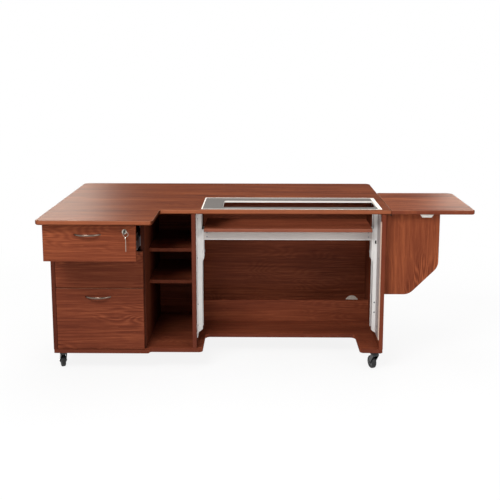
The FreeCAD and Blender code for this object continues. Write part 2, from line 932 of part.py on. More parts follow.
def crossbar(y_web, side):
    """Folded bar between the carriages: web, top flange under the platform and a lower lip."""
    x0 = x_knee1 + column_w + carriage_gap + carriage_t
    x1 = x_right0 - column_w - carriage_gap - carriage_t
    z1 = z_platform0
    z0 = z1 - bar_h
    y_wall = y_web + side * bar_wall
    y_flange = y_web + side * bar_d
    y_lip = y_web + side * bar_lip
    return fused([
        slab(x0, x1, min(y_web, y_wall), max(y_web, y_wall), z0, z1),
        slab(x0, x1, min(y_web, y_flange), max(y_web, y_flange), z1 - bar_wall, z1),
        slab(x0, x1, min(y_web, y_lip), max(y_web, y_lip), z0, z0 + bar_wall),
    ])


def lift_crossbars():
    """Front and rear crossbars, back to back."""
    half = carriage_d / 2
    return group([crossbar(y_lift - half, 1), crossbar(y_lift + half, -1)])


def balance_coils():
    """Strip-spring coils at the top of each column, on hubs held by the web and a lip plate."""
    coils = []
    z = z_top0 - coil_drop
    for x_wall, side in ((x_knee1, 1), (x_right0, -1)):
        x_web = x_wall + side * column_wall
        x_end = x_wall + side * (column_w - column_wall)
        width = column_w - column_wall - column_wall
        x_low = min(x_web, x_end)
        y_hub = y_column + column_wall + coil_r
        coil_x = x_low + (width - strip_w) / 2
        coils.append(tube(Vec(coil_x, y_hub, z), X_DIR, coil_r, coil_hub_r, strip_w))
        coils.append(rod(Vec(x_low, y_hub, z), X_DIR, coil_hub_r, width))
    return group(coils)


def balance_strips():
    """Free run of each strip spring, from its coil down to the upper guide shoe."""
    strips = []
    z_low = z_platform0 - shoe_upper_drop
    z_high = z_top0 - coil_drop
    y0 = y_column + column_wall + coil_r + coil_r
    for x_wall, side in ((x_knee1, 1), (x_right0, -1)):
        x_mid = x_wall + side * column_w / 2
        strips.append(slab(x_mid - strip_w / 2, x_mid + strip_w / 2, y0, y0 + strip_t, z_low, z_high))
    return group(strips)


def column_screws():
    """Pan-head screws on each column's screwed face and on its two flanges."""
    heads = []
    for x_wall, side in ((x_knee1, 1), (x_right0, -1)):
        y_face, look = column_face(side)
        for share in column_screw_shares:
            seat = Vec(x_wall + side * column_w / 2, y_face, column_rise(share))
            heads.append(rod(seat, Y_DIR * look, column_screw_r, column_screw_t))
        for y in (y_column - column_flange / 2, y_column + column_d + column_flange / 2):
            for share in flange_screw_shares:
                seat = Vec(x_wall + side * column_wall, y, column_rise(share))
                heads.append(rod(seat, X_DIR * side, column_screw_r, column_screw_t))
    return group(heads)


def gate_panel():
    """Gate that swings out to carry the leaf, its lower corner cut away."""
    x0 = x_gate_pin + gate_knuckle_r + gate_hinge_gap
    x1 = x0 + gate_width
    corners = [
        (x0, z_gate1, 0),
        (x1, z_gate1, 0),
        (x1, z_gate0 + gate_chamfer, gate_corner),
        (x1 - gate_chamfer, z_gate0, gate_corner),
        (x0, z_gate0, 0),
    ]
    return prism(corners, on_xz(y_main + gate_front), Y_DIR * gate_t)


def gate_stop():
    """Tapered stop block under the leaf, in front of the gate."""
    x_mid = x_leaf0 + stop_from_seam + stop_w / 2
    y1 = y_main + gate_front - stop_clear
    corners = [
        (x_mid - stop_w / 2, z_top0, 0),
        (x_mid - stop_bottom_w / 2, z_top0 - stop_h, 0),
        (x_mid + stop_bottom_w / 2, z_top0 - stop_h, 0),
        (x_mid + stop_w / 2, z_top0, 0),
    ]
    return prism(corners, on_xz(y1 - stop_d), Y_DIR * stop_d)


def oriented_block(origin, frame, low, high):
    """Block between two corners given along three frame directions."""
    size = [h - l for l, h in zip(low, high)]
    corner = origin + frame[0] * low[0] + frame[1] * low[1] + frame[2] * low[2]
    base = Part.makePolygon([
        corner,
        corner + frame[0] * size[0],
        corner + frame[0] * size[0] + frame[1] * size[1],
        corner + frame[1] * size[1],
        corner,
    ])
    return Part.Face(base).extrude(frame[2] * size[2])


def half_hinge(pivot, along, toward, axis, knuckle_r, pin_r, width, spans, length):
    """One half of a butt hinge: a plate on its board and the knuckles of the given spans."""
    frame = (along, toward, axis)
    t0 = knuckle_r - hinge_plate_t
    clear = knuckle_r + plate_clear
    pieces = [oriented_block(pivot, frame, (clear, t0, -length / 2),
                             (clear + width, knuckle_r, length / 2))]
    for low, high in spans:
        pieces.append(oriented_block(pivot, frame, (0, t0, low), (clear, knuckle_r, high)))
        pieces.append(rod(pivot + axis * low, axis, knuckle_r, high - low))
    bore = rod(pivot - axis * length, axis, pin_r + run_fit, length + length)
    return fused(pieces).cut(bore)


def outer_spans(length):
    """Spans of the two outer knuckles of a three-knuckle hinge."""
    edge = length / 2 / 3 + knuckle_play / 2
    return [(-length / 2, -edge), (edge, length / 2)]


def middle_span(length):
    """Span of the middle knuckle of a three-knuckle hinge."""
    edge = length / 2 / 3 - knuckle_play / 2
    return [(-edge, edge)]


def leaf_pivots():
    """Middles of the leaf's hinge pins under the seam."""
    z = z_top0 - leaf_knuckle_r
    return [Vec(x_seam, y_main + place, z) for place in leaf_hinge_places]


def gate_pivots():
    """Middles of the gate's hinge pins beside the right panel."""
    return [Vec(x_gate_pin, y_gate_pin, z_gate0 + rise) for rise in gate_hinge_rises]


def leaf_hinge_fixed():
    """Hinge halves under the worktop with their pins."""
    spans = outer_spans(leaf_hinge_len)
    solids = []
    for pivot in leaf_pivots():
        solids.append(half_hinge(pivot, -X_DIR, Z_DIR, Y_DIR, leaf_knuckle_r, leaf_pin_r,
                                 leaf_hinge_w, spans, leaf_hinge_len))
        solids.append(rod(pivot - Y_DIR * (leaf_hinge_len / 2), Y_DIR, leaf_pin_r, leaf_hinge_len))
    return group(solids)


def leaf_hinge_moving():
    """Hinge halves under the leaf."""
    spans = middle_span(leaf_hinge_len)
    return group([half_hinge(pivot, X_DIR, Z_DIR, Y_DIR, leaf_knuckle_r, leaf_pin_r, leaf_hinge_w,
                             spans, leaf_hinge_len) for pivot in leaf_pivots()])


def gate_hinge_fixed():
    """Hinge halves on the right panel with their pins."""
    spans = outer_spans(gate_hinge_len)
    solids = []
    for pivot in gate_pivots():
        solids.append(half_hinge(pivot, Y_DIR, -X_DIR, Z_DIR, gate_knuckle_r, gate_pin_r,
                                 gate_hinge_w, spans, gate_hinge_len))
        solids.append(rod(pivot - Z_DIR * (gate_hinge_len / 2), Z_DIR, gate_pin_r, gate_hinge_len))
    return group(solids)


def gate_hinge_moving():
    """Hinge halves on the gate's back face."""
    spans = middle_span(gate_hinge_len)
    return group([half_hinge(pivot, X_DIR, -Y_DIR, Z_DIR, gate_knuckle_r, gate_pin_r, gate_hinge_w,
                             spans, gate_hinge_len) for pivot in gate_pivots()])


def angle_bracket(x_face, side, y):
    """Angle bracket in the corner between a wall's face and the worktop."""
    x_leg = x_face + side * bracket_leg
    x_wall = x_face + side * bracket_t
    y1 = y + bracket_w
    return fused([
        slab(min(x_face, x_leg), max(x_face, x_leg), y, y1, z_top0 - bracket_t, z_top0),
        slab(min(x_face, x_wall), max(x_face, x_wall), y, y1, z_top0 - bracket_leg, z_top0),
    ])


def top_brackets():
    """Angle brackets that tie the worktop to the carcass walls."""
    brackets = []
    span = y_inner_back - y_open1
    for share in bracket_shares:
        y = y_open1 + span * share - bracket_w / 2
        for x_face, side in ((x_left1, 1), (x_div1, 1), (x_knee0, -1), (x_right0, -1)):
            brackets.append(angle_bracket(x_face, side, y))
    return group(brackets)


def caster_places():
    """Swivel centres of the four casters under the base plate."""
    x_left = x_left0 + caster_side_inset
    x_right = x_right1 - caster_side_inset
    y_near = y_carcass + caster_front_inset
    y_far = y_case_back - caster_back_inset
    return {"front_left": (x_left, y_near), "front_right": (x_right, y_near),
            "back_left": (x_left, y_far), "back_right": (x_right, y_far)}


def caster_plates():
    """Top plates of the casters with their swivel races, bored for the stems."""
    plates = []
    half = caster_plate / 2
    z0 = z_base0 - caster_plate_t
    for x, y in caster_places().values():
        plate = slab(x - half, x + half, y - half, y + half, z0, z_base0)
        race = rod(Vec(x, y, z0 - race_h), Z_DIR, race_r, race_h)
        bore = rod(Vec(x, y, z0 - race_h - overrun), Z_DIR, stem_r + run_fit, race_h + overrun)
        plates.append(fused([plate, race]).cut(bore))
    return group(plates)


def headed(shape, x, y):
    """Turn a caster piece about its swivel to the heading that the casters rest at."""
    return shape.rotated(Vec(x, y, 0), Z_DIR, caster_heading_deg)


def caster_fork(x, y):
    """Swivel fork with its stem, two ears and the axle that the wheel turns on."""
    z_crown1 = z_base0 - caster_plate_t - race_h - race_play
    z_crown0 = z_crown1 - crown_h
    y_axle = y + caster_trail
    pieces = [
        rod(Vec(x, y, z_crown0), Z_DIR, crown_r, crown_h),
        rod(Vec(x, y, z_crown0), Z_DIR, stem_r, crown_h + race_play + race_h),
    ]
    gap = wheel_w / 2 + wheel_play
    for x_ear in (x - gap - ear_t, x + gap):
        y_left = y - ear_top / 2
        pieces.append(prism([
            (y_left, z_crown1, 0),
            (y_left, z_crown0, 0),
            (y_axle - ear_r, wheel_r, 0),
            (y_axle + ear_r, wheel_r, 0),
            (y_left + ear_top, z_crown0, 0),
            (y_left + ear_top, z_crown1, 0),
        ], on_yz(x_ear), X_DIR * ear_t))
        pieces.append(rod(Vec(x_ear, y_axle, wheel_r), X_DIR, ear_r, ear_t))
    across = gap + gap + ear_t + ear_t
    x_axle = x - across / 2
    bore = rod(Vec(x_axle - overrun, y_axle, wheel_r), X_DIR, axle_r + run_fit,
               across + overrun + overrun)
    axle = fused([
        rod(Vec(x_axle - axle_head_t, y_axle, wheel_r), X_DIR, axle_r, across + axle_head_t),
        rod(Vec(x_axle - axle_head_t, y_axle, wheel_r), X_DIR, axle_head_r, axle_head_t),
    ])
    return headed(group([fused(pieces).cut(bore), axle]), x, y)


def caster_wheel(x, y):
    """Wheel with a bevelled tread and dished sides, bored for the axle."""
    half = wheel_w / 2
    dish_r = wheel_r - wheel_rim
    hub_r = axle_r + axle_head_r
    profile = [
        (half, axle_r + run_fit, 0),
        (half, hub_r, 0),
        (half - wheel_dish, hub_r + wheel_dish, 0),
        (half - wheel_dish, dish_r - wheel_dish, 0),
        (half, dish_r, 0),
        (half, wheel_r - wheel_round, 0),
        (half - wheel_round, wheel_r, 0),
        (wheel_round - half, wheel_r, 0),
        (-half, wheel_r - wheel_round, 0),
        (-half, dish_r, 0),
        (wheel_dish - half, dish_r - wheel_dish, 0),
        (wheel_dish - half, hub_r + wheel_dish, 0),
        (-half, hub_r, 0),
        (-half, axle_r + run_fit, 0),
    ]
    centre = Vec(x, y + caster_trail, wheel_r)
    face = outline(profile, lambda a, b: Vec(centre.x + a, centre.y, centre.z + b))
    return headed(face.revolve(centre, X_DIR, math.degrees(math.tau)), x, y)


def assembly():
    """All nodes of the cabinet by name."""
    nodes = {
        "table_top": table_top(),
        "acrylic_insert": acrylic_insert(),
        "drop_leaf": drop_leaf(),
        "left_side_panel": left_side_panel(),
        "drawer_divider": drawer_divider(),
        "knee_panel": knee_panel(),
        "right_side_panel": right_side_panel(),
        "base_plate": base_plate(),
        "pedestal_back_panel": pedestal_back_panel(),
        "knee_back_panel": knee_back_panel(),
        "cable_rail": cable_rail(),
        "cable_raceway": cable_raceway(),
        "cable_grommet": cable_grommet(),
        "shelves": shelves(),
        "shelf_pins": shelf_pins(),
        "slide_outer_rails": slide_outer_rails(),
        "drawer_front_top": drawer_front_top(),
        "lock_body": lock_body(),
        "lock_plug": lock_plug(),
        "key": key(),
        "key_ring": key_ring(),
        "lock_strike": lock_strike(),
        "drawer_front_middle": drawer_front(z_middle0, middle_front, 0),
        "drawer_front_file": drawer_front(z_file0, file_front, 0),
        "lift_columns": lift_columns(),
        "column_screws": column_screws(),
        "balance_coils": balance_coils(),
        "balance_strips": balance_strips(),
        "lift_carriages": lift_carriages(),
        "lift_shoes": lift_shoes(),
        "lift_crossbars": lift_crossbars(),
        "lift_platform": lift_platform(),
        "gate_panel": gate_panel(),
        "gate_stop": gate_stop(),
        "leaf_hinge_fixed": leaf_hinge_fixed(),
        "leaf_hinge_moving": leaf_hinge_moving(),
        "gate_hinge_fixed": gate_hinge_fixed(),
        "gate_hinge_moving": gate_hinge_moving(),
        "top_brackets": top_brackets(),
        "caster_plates": caster_plates(),
    }
    drawers = {
        "top": (z_drawer0, top_front, top_box, top_rest_pull, pull_drop),
        "middle": (z_middle0, middle_front, middle_box, 0, middle_pull_drop),
        "file": (z_file0, file_front, file_box, 0, pull_drop),
    }
    for name, (z0, height, box_height, pull, drop) in drawers.items():
        nodes["drawer_box_" + name] = drawer_box(z0, box_height, pull)
        nodes["pull_" + name] = bow_pull(z0, height, pull, drop)
        nodes["slide_inner_" + name] = slide_inner(z0, pull)
        nodes["slide_mid_" + name] = slide_mid(z0, pull)
    for name, (x, y) in caster_places().items():
        nodes["caster_fork_" + name] = caster_fork(x, y)
        nodes["caster_wheel_" + name] = caster_wheel(x, y)
    return nodes


os.makedirs("parts", exist_ok=True)
for node, shape in assembly().items():
    shape.exportStep("parts/" + node + ".step")
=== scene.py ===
"""Looks of the sewing cabinet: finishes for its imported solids, and the fine pieces fitted to them."""

import json
import logging
import math
from dataclasses import dataclass, replace
from enum import Enum
from typing import Any, Iterable, Optional, Sequence, Union

import bmesh
import bpy
import numpy as np
from mathutils import Matrix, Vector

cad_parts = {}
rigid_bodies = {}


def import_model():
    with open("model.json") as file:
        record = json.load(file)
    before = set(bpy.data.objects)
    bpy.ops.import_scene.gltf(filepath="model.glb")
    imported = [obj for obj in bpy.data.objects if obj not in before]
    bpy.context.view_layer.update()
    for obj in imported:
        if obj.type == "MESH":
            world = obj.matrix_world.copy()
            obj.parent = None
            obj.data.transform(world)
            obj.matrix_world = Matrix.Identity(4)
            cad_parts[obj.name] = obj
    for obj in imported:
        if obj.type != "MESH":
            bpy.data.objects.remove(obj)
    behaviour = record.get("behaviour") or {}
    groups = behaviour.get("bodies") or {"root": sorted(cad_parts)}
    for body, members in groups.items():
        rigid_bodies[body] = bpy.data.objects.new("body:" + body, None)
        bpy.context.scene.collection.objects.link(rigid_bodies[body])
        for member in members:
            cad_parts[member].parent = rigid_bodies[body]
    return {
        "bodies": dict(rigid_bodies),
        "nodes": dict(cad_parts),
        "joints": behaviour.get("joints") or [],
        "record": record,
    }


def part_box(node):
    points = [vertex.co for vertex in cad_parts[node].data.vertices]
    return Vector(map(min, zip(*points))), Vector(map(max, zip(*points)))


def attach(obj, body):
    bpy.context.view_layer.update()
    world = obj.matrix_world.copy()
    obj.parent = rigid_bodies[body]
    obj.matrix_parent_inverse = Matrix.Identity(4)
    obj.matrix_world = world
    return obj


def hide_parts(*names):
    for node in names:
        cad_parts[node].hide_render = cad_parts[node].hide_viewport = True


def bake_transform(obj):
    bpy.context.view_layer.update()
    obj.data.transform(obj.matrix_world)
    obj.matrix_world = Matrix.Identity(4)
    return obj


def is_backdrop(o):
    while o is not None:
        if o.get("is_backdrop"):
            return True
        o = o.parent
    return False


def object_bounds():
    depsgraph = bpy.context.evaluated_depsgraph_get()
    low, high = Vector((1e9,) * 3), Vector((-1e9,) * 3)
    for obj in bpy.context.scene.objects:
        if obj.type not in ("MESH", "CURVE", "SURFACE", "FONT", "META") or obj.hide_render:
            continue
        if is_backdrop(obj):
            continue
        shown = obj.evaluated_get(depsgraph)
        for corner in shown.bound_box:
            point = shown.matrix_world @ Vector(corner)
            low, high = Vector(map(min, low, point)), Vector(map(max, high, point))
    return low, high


LOG = logging.getLogger("sewing_cabinet")
MM = 0.001
TAU = 2 * math.pi
SAME_POINT = 1e-7
NEARLY_UPRIGHT = 0.9
CREASE = math.radians(38)

Rgb = tuple[float, float, float]
Point = tuple[float, float, float]
Pair = tuple[float, float]
Mesh = tuple[np.ndarray, np.ndarray]
Key = Union[int, str]


class Axis(Enum):
    """An axis of the shared frame, by its place in a point."""

    X = 0
    Y = 1
    Z = 2


class Drawer(Enum):
    """The three drawers of the pedestal, by the name that their nodes end in."""

    TOP = "top"
    MIDDLE = "middle"
    FILE = "file"

    @property
    def body(self) -> str:
        """The body that this drawer's pieces ride on."""
        return self.value + "_drawer"


class Corner(Enum):
    """The four casters, by the name that their nodes end in."""

    FRONT_LEFT = "front_left"
    FRONT_RIGHT = "front_right"
    BACK_LEFT = "back_left"
    BACK_RIGHT = "back_right"

    @property
    def swivel(self) -> str:
        """The body of this caster's fork."""
        return "swivel_" + self.value

    @property
    def wheel(self) -> str:
        """The body of this caster's wheel."""
        return "wheel_" + self.value


def stepped(start: Pair, step: Pair, count: int) -> Pair:
    """A pair that many steps on from its start."""
    return start[0] + step[0] * count, start[1] + step[1] * count


def linear(rgb: Rgb) -> tuple[float, ...]:
    """Turn an sRGB colour of 0 to 255 into linear red, green, blue and alpha, by the standard's curve.

    Args:
        rgb: The colour as it looks on a screen.

    Returns:
        Four shares, the last of them 1.
    """
    share = np.asarray(rgb, float) / 255
    curve = np.where(share <= 0.04045, share / 12.92, ((share + 0.055) / 1.055) ** 2.4)
    return (*curve.tolist(), 1.0)


# Shader nodes as Python expressions


class Sock:
    """A value in a node graph. Python's operators on it add Math nodes."""

    def __init__(self, graph: "Graph", socket: bpy.types.NodeSocket) -> None:
        """Keep the graph and the output socket."""
        self.graph = graph
        self.socket = socket

    def math(self, operation: str, *terms: Any) -> "Sock":
        """The result of one Math node on these terms."""
        return self.graph.add("Math", {"operation": operation}, dict(enumerate(terms)))

    def __add__(self, other: Any) -> "Sock":
        """Sum."""
        return self.math("ADD", self, other)

    __radd__ = __add__

    def __sub__(self, other: Any) -> "Sock":
        """Difference."""
        return self.math("SUBTRACT", self, other)

    def __rsub__(self, other: Any) -> "Sock":
        """Difference, the other way round."""
        return self.math("SUBTRACT", other, self)

    def __mul__(self, other: Any) -> "Sock":
        """Product."""
        return self.math("MULTIPLY", self, other)

    __rmul__ = __mul__

    def __abs__(self) -> "Sock":
        """Size without sign."""
        return self.math("ABSOLUTE", self)

    def sine(self) -> "Sock":
        """Sine of an angle in radians."""
        return self.math("SINE", self)

    def rise(self, low: float, high: float) -> "Sock":
        """Smooth step from 0 at low to 1 at high, or falling where low is above high."""
        return self.graph.add("MapRange", {"interpolation_type": "SMOOTHSTEP"},
                              {"Value": self, "From Min": low, "From Max": high}, "Result")


class Graph:
    """A node tree, with one way to add nodes to it."""

    def __init__(self, tree: bpy.types.NodeTree) -> None:
        """Keep the tree."""
        self.tree = tree

    @staticmethod
    def pick(sockets: Any, key: Key) -> bpy.types.NodeSocket:
        """Find a socket.

        Args:
            sockets: A node's inputs or outputs.
            key: The socket's place, identifier or name.

        Returns:
            The socket.
        """
        if isinstance(key, int):
            return sockets[key]
        return next((s for s in sockets if s.identifier == key), None) or sockets[key]

    def plug(self, socket: bpy.types.NodeSocket, term: Any) -> None:
        """Link a term into a socket, or set it there if it is a plain value.

        Args:
            socket: An input.
            term: A Sock, a number or a colour.
        """
        if isinstance(term, Sock):
            self.tree.links.new(term.socket, socket)
        else:
            socket.default_value = term

    def add(self, kind: str, settings: Optional[dict] = None, inputs: Optional[dict] = None,
            output: Key = 0) -> Sock:
        """Add any node.

        Args:
            kind: The node's type, without ShaderNode.
            settings: Its properties, set first; stops are a ramp's places and colours.
            inputs: Values or Socks by socket.
            output: Which output to give back.

        Returns:
            That output.
        """
        node = self.tree.nodes.new("ShaderNode" + kind)
        for name, value in (settings or {}).items():
            if name == "stops":
                ramp = node.color_ramp.elements
                while len(ramp) < len(value):
                    ramp.new(1.0)
                for stop, (place, colour) in zip(ramp, value):
                    stop.position = place
                    stop.color = colour
            else:
                setattr(node, name, value)
        for key, term in (inputs or {}).items():
            self.plug(self.pick(node.inputs, key), term)
        return Sock(self, self.pick(node.outputs, output))

    def seen(self) -> Sock:
        """1 for the rays that show the background: the sum of three tests on the ray, 1 at most.

        Returns:
            1 for camera, glossy and transmission rays, and 0 for the others.
        """
        camera, glossy, through = (self.add("LightPath", output=f"Is {ray} Ray")
                                   for ray in ("Camera", "Glossy", "Transmission"))
        shown = camera + glossy + through
        return shown.math("MINIMUM", shown, 1.0)


class Recipe(Graph):
    """One material in the making, round its Principled surface."""

    def __init__(self, name: str) -> None:
        """Start a material.

        Args:
            name: Of the material.
        """
        self.material = bpy.data.materials.new(name)
        self.material.use_nodes = True
        super().__init__(self.material.node_tree)
        self.surface = self.tree.nodes["Principled BSDF"]

    def split(self, source: str) -> list[Sock]:
        """Take a point or a direction apart.

        Args:
            source: The output of Texture Coordinate, Object or Normal.

        Returns:
            Its three parts.
        """
        whole = self.add("TexCoord", output=source)
        node = self.add("SeparateXYZ", inputs={0: whole}).socket.node
        return [Sock(self, out) for out in node.outputs]

    def noise(self, parts: Sequence[Any], octaves: float, rough: float = 0.5) -> Sock:
        """Noise at a point.

        Args:
            parts: The point's three parts, each already scaled.
            octaves: How many finer layers it has.
            rough: How strong the finer layers are.

        Returns:
            A value round one half.
        """
        spot = self.add("CombineXYZ", inputs=dict(enumerate(parts)))
        return self.add("TexNoise", inputs={"Vector": spot, "Scale": 1.0, "Detail": octaves,
                                            "Roughness": rough})

    def speckle(self, spot: Sequence[Sock], often: float, octaves: float = 1.0) -> Sock:
        """Noise that changes alike every way, so often in a metre."""
        return self.noise([part * often for part in spot], octaves)

    def mix(self, share: Any, first: Any, second: Any) -> Sock:
        """The first colour, going over to the second by a share."""
        return self.add("Mix", {"data_type": "RGBA"},
                        {"Factor_Float": share, "A_Color": first, "B_Color": second}, "Result_Color")

    def bump(self, height: Sock, depth: float, strength: float) -> None:
        """Raise the surface.

        Args:
            height: Of 0 to 1.
            depth: What a height of 1 comes to, in metres.
            strength: How much it tells.
        """
        relief = {"Strength": strength, "Distance": depth, "Height": height}
        self.finish(Normal=self.add("Bump", inputs=relief, output="Normal"))

    def finish(self, **terms: Any) -> bpy.types.Material:
        """Set sockets of the surface.

        Args:
            terms: Values or Socks by the socket's name, with _ for each space in it.

        Returns:
            The material.
        """
        for name, term in terms.items():
            self.plug(self.surface.inputs[name.replace("_", " ")], term)
        return self.material


# Finishes

SHADE: Rgb = (44, 17, 11)
# Painted highlight: the pale colour that the rounded arrises of the laminates are mixed towards.
ARRIS_HIGHLIGHT: Rgb = (236, 176, 140)
SEED_STEP = 17.0
TONE_STOPS = (0.14, 0.5, 0.86)
# Windows on the normal: front faces for painted light and shade, right faces for painted shade, and rounded
# arrises between level and upright for a painted highlight.
FACING_FRONT = (-0.7, -0.95)
FACING_RIGHT = (0.5, 0.9)
OFF_LEVEL = (0.12, 0.4)
OFF_UPRIGHT = (0.985, 0.9)
CLOUD_START = 0.3


@dataclass(frozen=True)
class Grain:
    """A layer of noise stretched along the grain.

    along and across say how often it changes in a metre. seed sets it apart from other layers,
    strength says how much it tells, and window holds the values where its patches start and are full.
    """

    along: float
    across: float
    seed: float
    octaves: float = 1.0
    strength: float = 1.0
    rough: float = 0.5
    window: Pair = (0.0, 1.0)

    def noise(self, recipe: Recipe, spot: Sequence[Any]) -> Sock:
        """The layer's noise.

        Args:
            recipe: The material in the making.
            spot: The places along and across the grain, and the board's own seed.

        Returns:
            A value round one half.
        """
        along, across, seed = spot
        parts = (along * self.along, across * self.across, seed + self.seed)
        return recipe.noise(parts, self.octaves, self.rough)

    def told(self, noise: Sock) -> Sock:
        """The layer's part in the tone: its noise, taken round zero, times its strength."""
        return (noise - 0.5) * self.strength

    def patches(self, recipe: Recipe, spot: Sequence[Any]) -> Sock:
        """1 in the layer's patches and 0 between them."""
        return self.noise(recipe, spot).rise(*self.window)


SWAY = Grain(1.3, 3.0, 0.0, strength=0.05)
BROAD = Grain(1.1, 11.0, 3.0, 2.0, 0.5)
STREAKS = Grain(2.8, 120.0, 5.0, 3.0, 0.8, 0.6)
HAIRS = Grain(9.0, 420.0, 7.0, 2.0, 0.45)
FLAME = Grain(2.4, 12.0, 9.0, strength=150.0)
FIGURED = Grain(2.1, 5.0, 11.0, window=(0.46, 0.60))
PORES = Grain(30.0, 1500.0, 13.0, strength=0.30, window=(0.58, 0.72))
FLECKS = Grain(14.0, 190.0, 15.0, 2.0, strength=0.36, window=(0.63, 0.74))


@dataclass(frozen=True)
class Laminate:
    """Cherry laminate: streaks and flames along the grain, pores, and front edges with painted light and
    shade.

    lee paints shade on the faces that look right, away from the light, and a painted highlight pales the
    rounded edges.
    """

    name: str
    along: Axis
    across: Axis
    light: Rgb = (156, 86, 58)
    middle: Rgb = (119, 60, 40)
    dark: Rgb = (84, 38, 26)
    shift: Pair = (0.0, 0.0)
    pitch: float = STREAKS.across
    contrast: float = 1.0
    figure: float = 0.11
    roughness: float = 0.42
    gloss: float = 0.06
    arris: float = 0.12
    haze: float = 0.3
    band: Rgb = (104, 50, 36)
    band_share: float = 0.0
    lee: float = 0.0
    drift: float = 0.12
    pore_relief: float = -0.6
    hair_relief: float = 0.4
    depth: float = 0.08 * MM
    softness: float = 0.6
    coat_ior: float = 1.5

    def board(self, name: str, shift: Pair, **changes: Any) -> "Laminate":
        """The same laminate for another board, cut from another place in the sheet."""
        return replace(self, name=name, shift=shift, **changes)

    def material(self) -> bpy.types.Material:
        """Build the laminate's nodes.

        The tone is one half plus the layers of noise round zero, times the contrast; the flames
        are the sine of a noise, shown in patches.

        Returns:
            The material.
        """
        recipe = Recipe(self.name)
        place = recipe.split("Object")
        along = place[self.along.value] + self.shift[0]
        across = place[self.across.value] + self.shift[1]
        seed = SEED_STEP * self.shift[0]
        straight = (along, across, seed)
        leaning = (along, across + SWAY.told(SWAY.noise(recipe, straight)), seed)
        streaks = replace(STREAKS, across=self.pitch)
        streak = streaks.noise(recipe, leaning)
        hair = HAIRS.noise(recipe, leaning)
        flames = (FLAME.noise(recipe, leaning) * FLAME.strength).sine() * 0.5
        figure = flames * FIGURED.patches(recipe, straight) * self.figure
        layers = BROAD.told(BROAD.noise(recipe, leaning)) + streaks.told(streak) + HAIRS.told(hair)
        tone = 0.5 + (layers + figure) * self.contrast
        tints = [linear(tint) for tint in (self.dark, self.middle, self.light)]
        wood = recipe.add("ValToRGB", {"stops": list(zip(TONE_STOPS, tints))}, {"Fac": tone})
        pores = PORES.patches(recipe, straight)
        wood = recipe.mix(pores * PORES.strength, wood, tints[0])
        flecks = FLECKS.patches(recipe, leaning)
        wood = recipe.mix(flecks * FLECKS.strength, wood, tints[2])
        recipe.bump(pores * self.pore_relief + hair * self.hair_relief, self.depth, self.softness)
        return recipe.finish(
            Base_Color=self.faced(recipe, wood), Roughness=self.roughness + (streak - 0.5) * self.drift,
            Specular_IOR_Level=0.0, Coat_Weight=self.gloss, Coat_Roughness=self.haze,
            Coat_IOR=self.coat_ior)

    def faced(self, recipe: Recipe, wood: Sock) -> Sock:
        """Paint light and shade on the wood by the way each face looks.

        Args:
            recipe: The material in the making.
            wood: The colour so far.

        Returns:
            The colour with painted light and shade on its front faces, painted shade on the faces that look
            right, and a painted highlight on the rounded arrises.
        """
        normal = recipe.split("Normal")
        # Painted light and shade on the front faces: a lighter or darker tone for each board, by how the
        # light falls on its front edge.
        wood = recipe.mix(normal[1].rise(*FACING_FRONT) * self.band_share, wood, linear(self.band))
        wood = recipe.mix(normal[0].rise(*FACING_RIGHT) * self.lee, wood, linear(SHADE))
        # Painted highlight on the rounded arrises, where faces are neither level nor upright.
        edge = normal[2].rise(*OFF_LEVEL) * normal[2].rise(*OFF_UPRIGHT)
        return recipe.mix(edge * self.arris, wood, linear(ARRIS_HIGHLIGHT))


@dataclass(frozen=True)
class Paint:
    """Powder coat or moulded plastic: a soft orange peel, with slightly uneven colour."""

    name: str
    colour: Rgb
    roughness: float = 0.45
    peel: float = 700.0
    depth: float = 0.06 * MM
    uneven: float = 0.32
    gloss: float = 0.3
    clouds: float = 9.0
    octaves: float = 3.0
    shaded: float = 0.72
    drift: float = 0.15
    softness: float = 0.5

    def material(self) -> bpy.types.Material:
        """Build the coat's nodes.

        Returns:
            The material.
        """
        recipe = Recipe(self.name)
        spot = recipe.split("Object")
        cloud = recipe.speckle(spot, self.clouds, self.octaves)
        shade = tuple(self.shaded * part for part in self.colour)
        coat = recipe.mix((cloud - CLOUD_START) * self.uneven, linear(self.colour), linear(shade))
        recipe.bump(recipe.speckle(spot, self.peel), self.depth, self.softness)
        return recipe.finish(Base_Color=self.toned(recipe, spot, coat), Specular_IOR_Level=self.gloss,
                             Roughness=self.roughness + (cloud - 0.5) * self.drift)

    def toned(self, recipe: Recipe, spot: list[Sock], coat: Sock) -> Sock:
        """The coat's colour where it differs by place, here the same all over."""
        return coat


@dataclass(frozen=True)
class ColumnCoat(Paint):
    """Powder coat of the lift columns, greyer on the flange along the right panel."""

    bare: Rgb = (146, 132, 130)
    wall: float = 539.2 * MM
    fade: float = 0.6 * MM
    thin: float = 0.85

    def toned(self, recipe: Recipe, spot: list[Sock], coat: Sock) -> Sock:
        """The coat's colour, greyer close to the right panel."""
        near = spot[0].rise(self.wall - self.fade, self.wall)
        return recipe.mix(near * self.thin, coat, linear(self.bare))


@dataclass(frozen=True)
class Metal:
    """Plated or brushed metal with fine lines along one axis."""

    name: str
    colour: Rgb
    lines: Axis
    roughness: float = 0.3
    fine: float = 900.0
    coarse: float = 18.0
    clouds: float = 30.0
    octaves: float = 2.0
    dulled: float = 0.7
    wear: float = 0.9
    drift: float = 0.2
    depth: float = 0.02 * MM
    softness: float = 0.4

    def material(self) -> bpy.types.Material:
        """Build the metal's nodes.

        Returns:
            The material.
        """
        recipe = Recipe(self.name)
        spot = recipe.split("Object")
        often = [self.coarse if axis is self.lines else self.fine for axis in Axis]
        brush = recipe.noise([part * each for part, each in zip(spot, often)], self.octaves)
        cloud = recipe.speckle(spot, self.clouds, self.octaves)
        dull = tuple(self.dulled * part for part in self.colour)
        worn = ((brush + cloud) * 0.5 - CLOUD_START) * self.wear
        tint = recipe.mix(worn, linear(self.colour), linear(dull))
        recipe.bump(brush, self.depth, self.softness)
        return recipe.finish(Base_Color=tint, Metallic=1.0,
                             Roughness=self.roughness + (brush - 0.5) * self.drift)


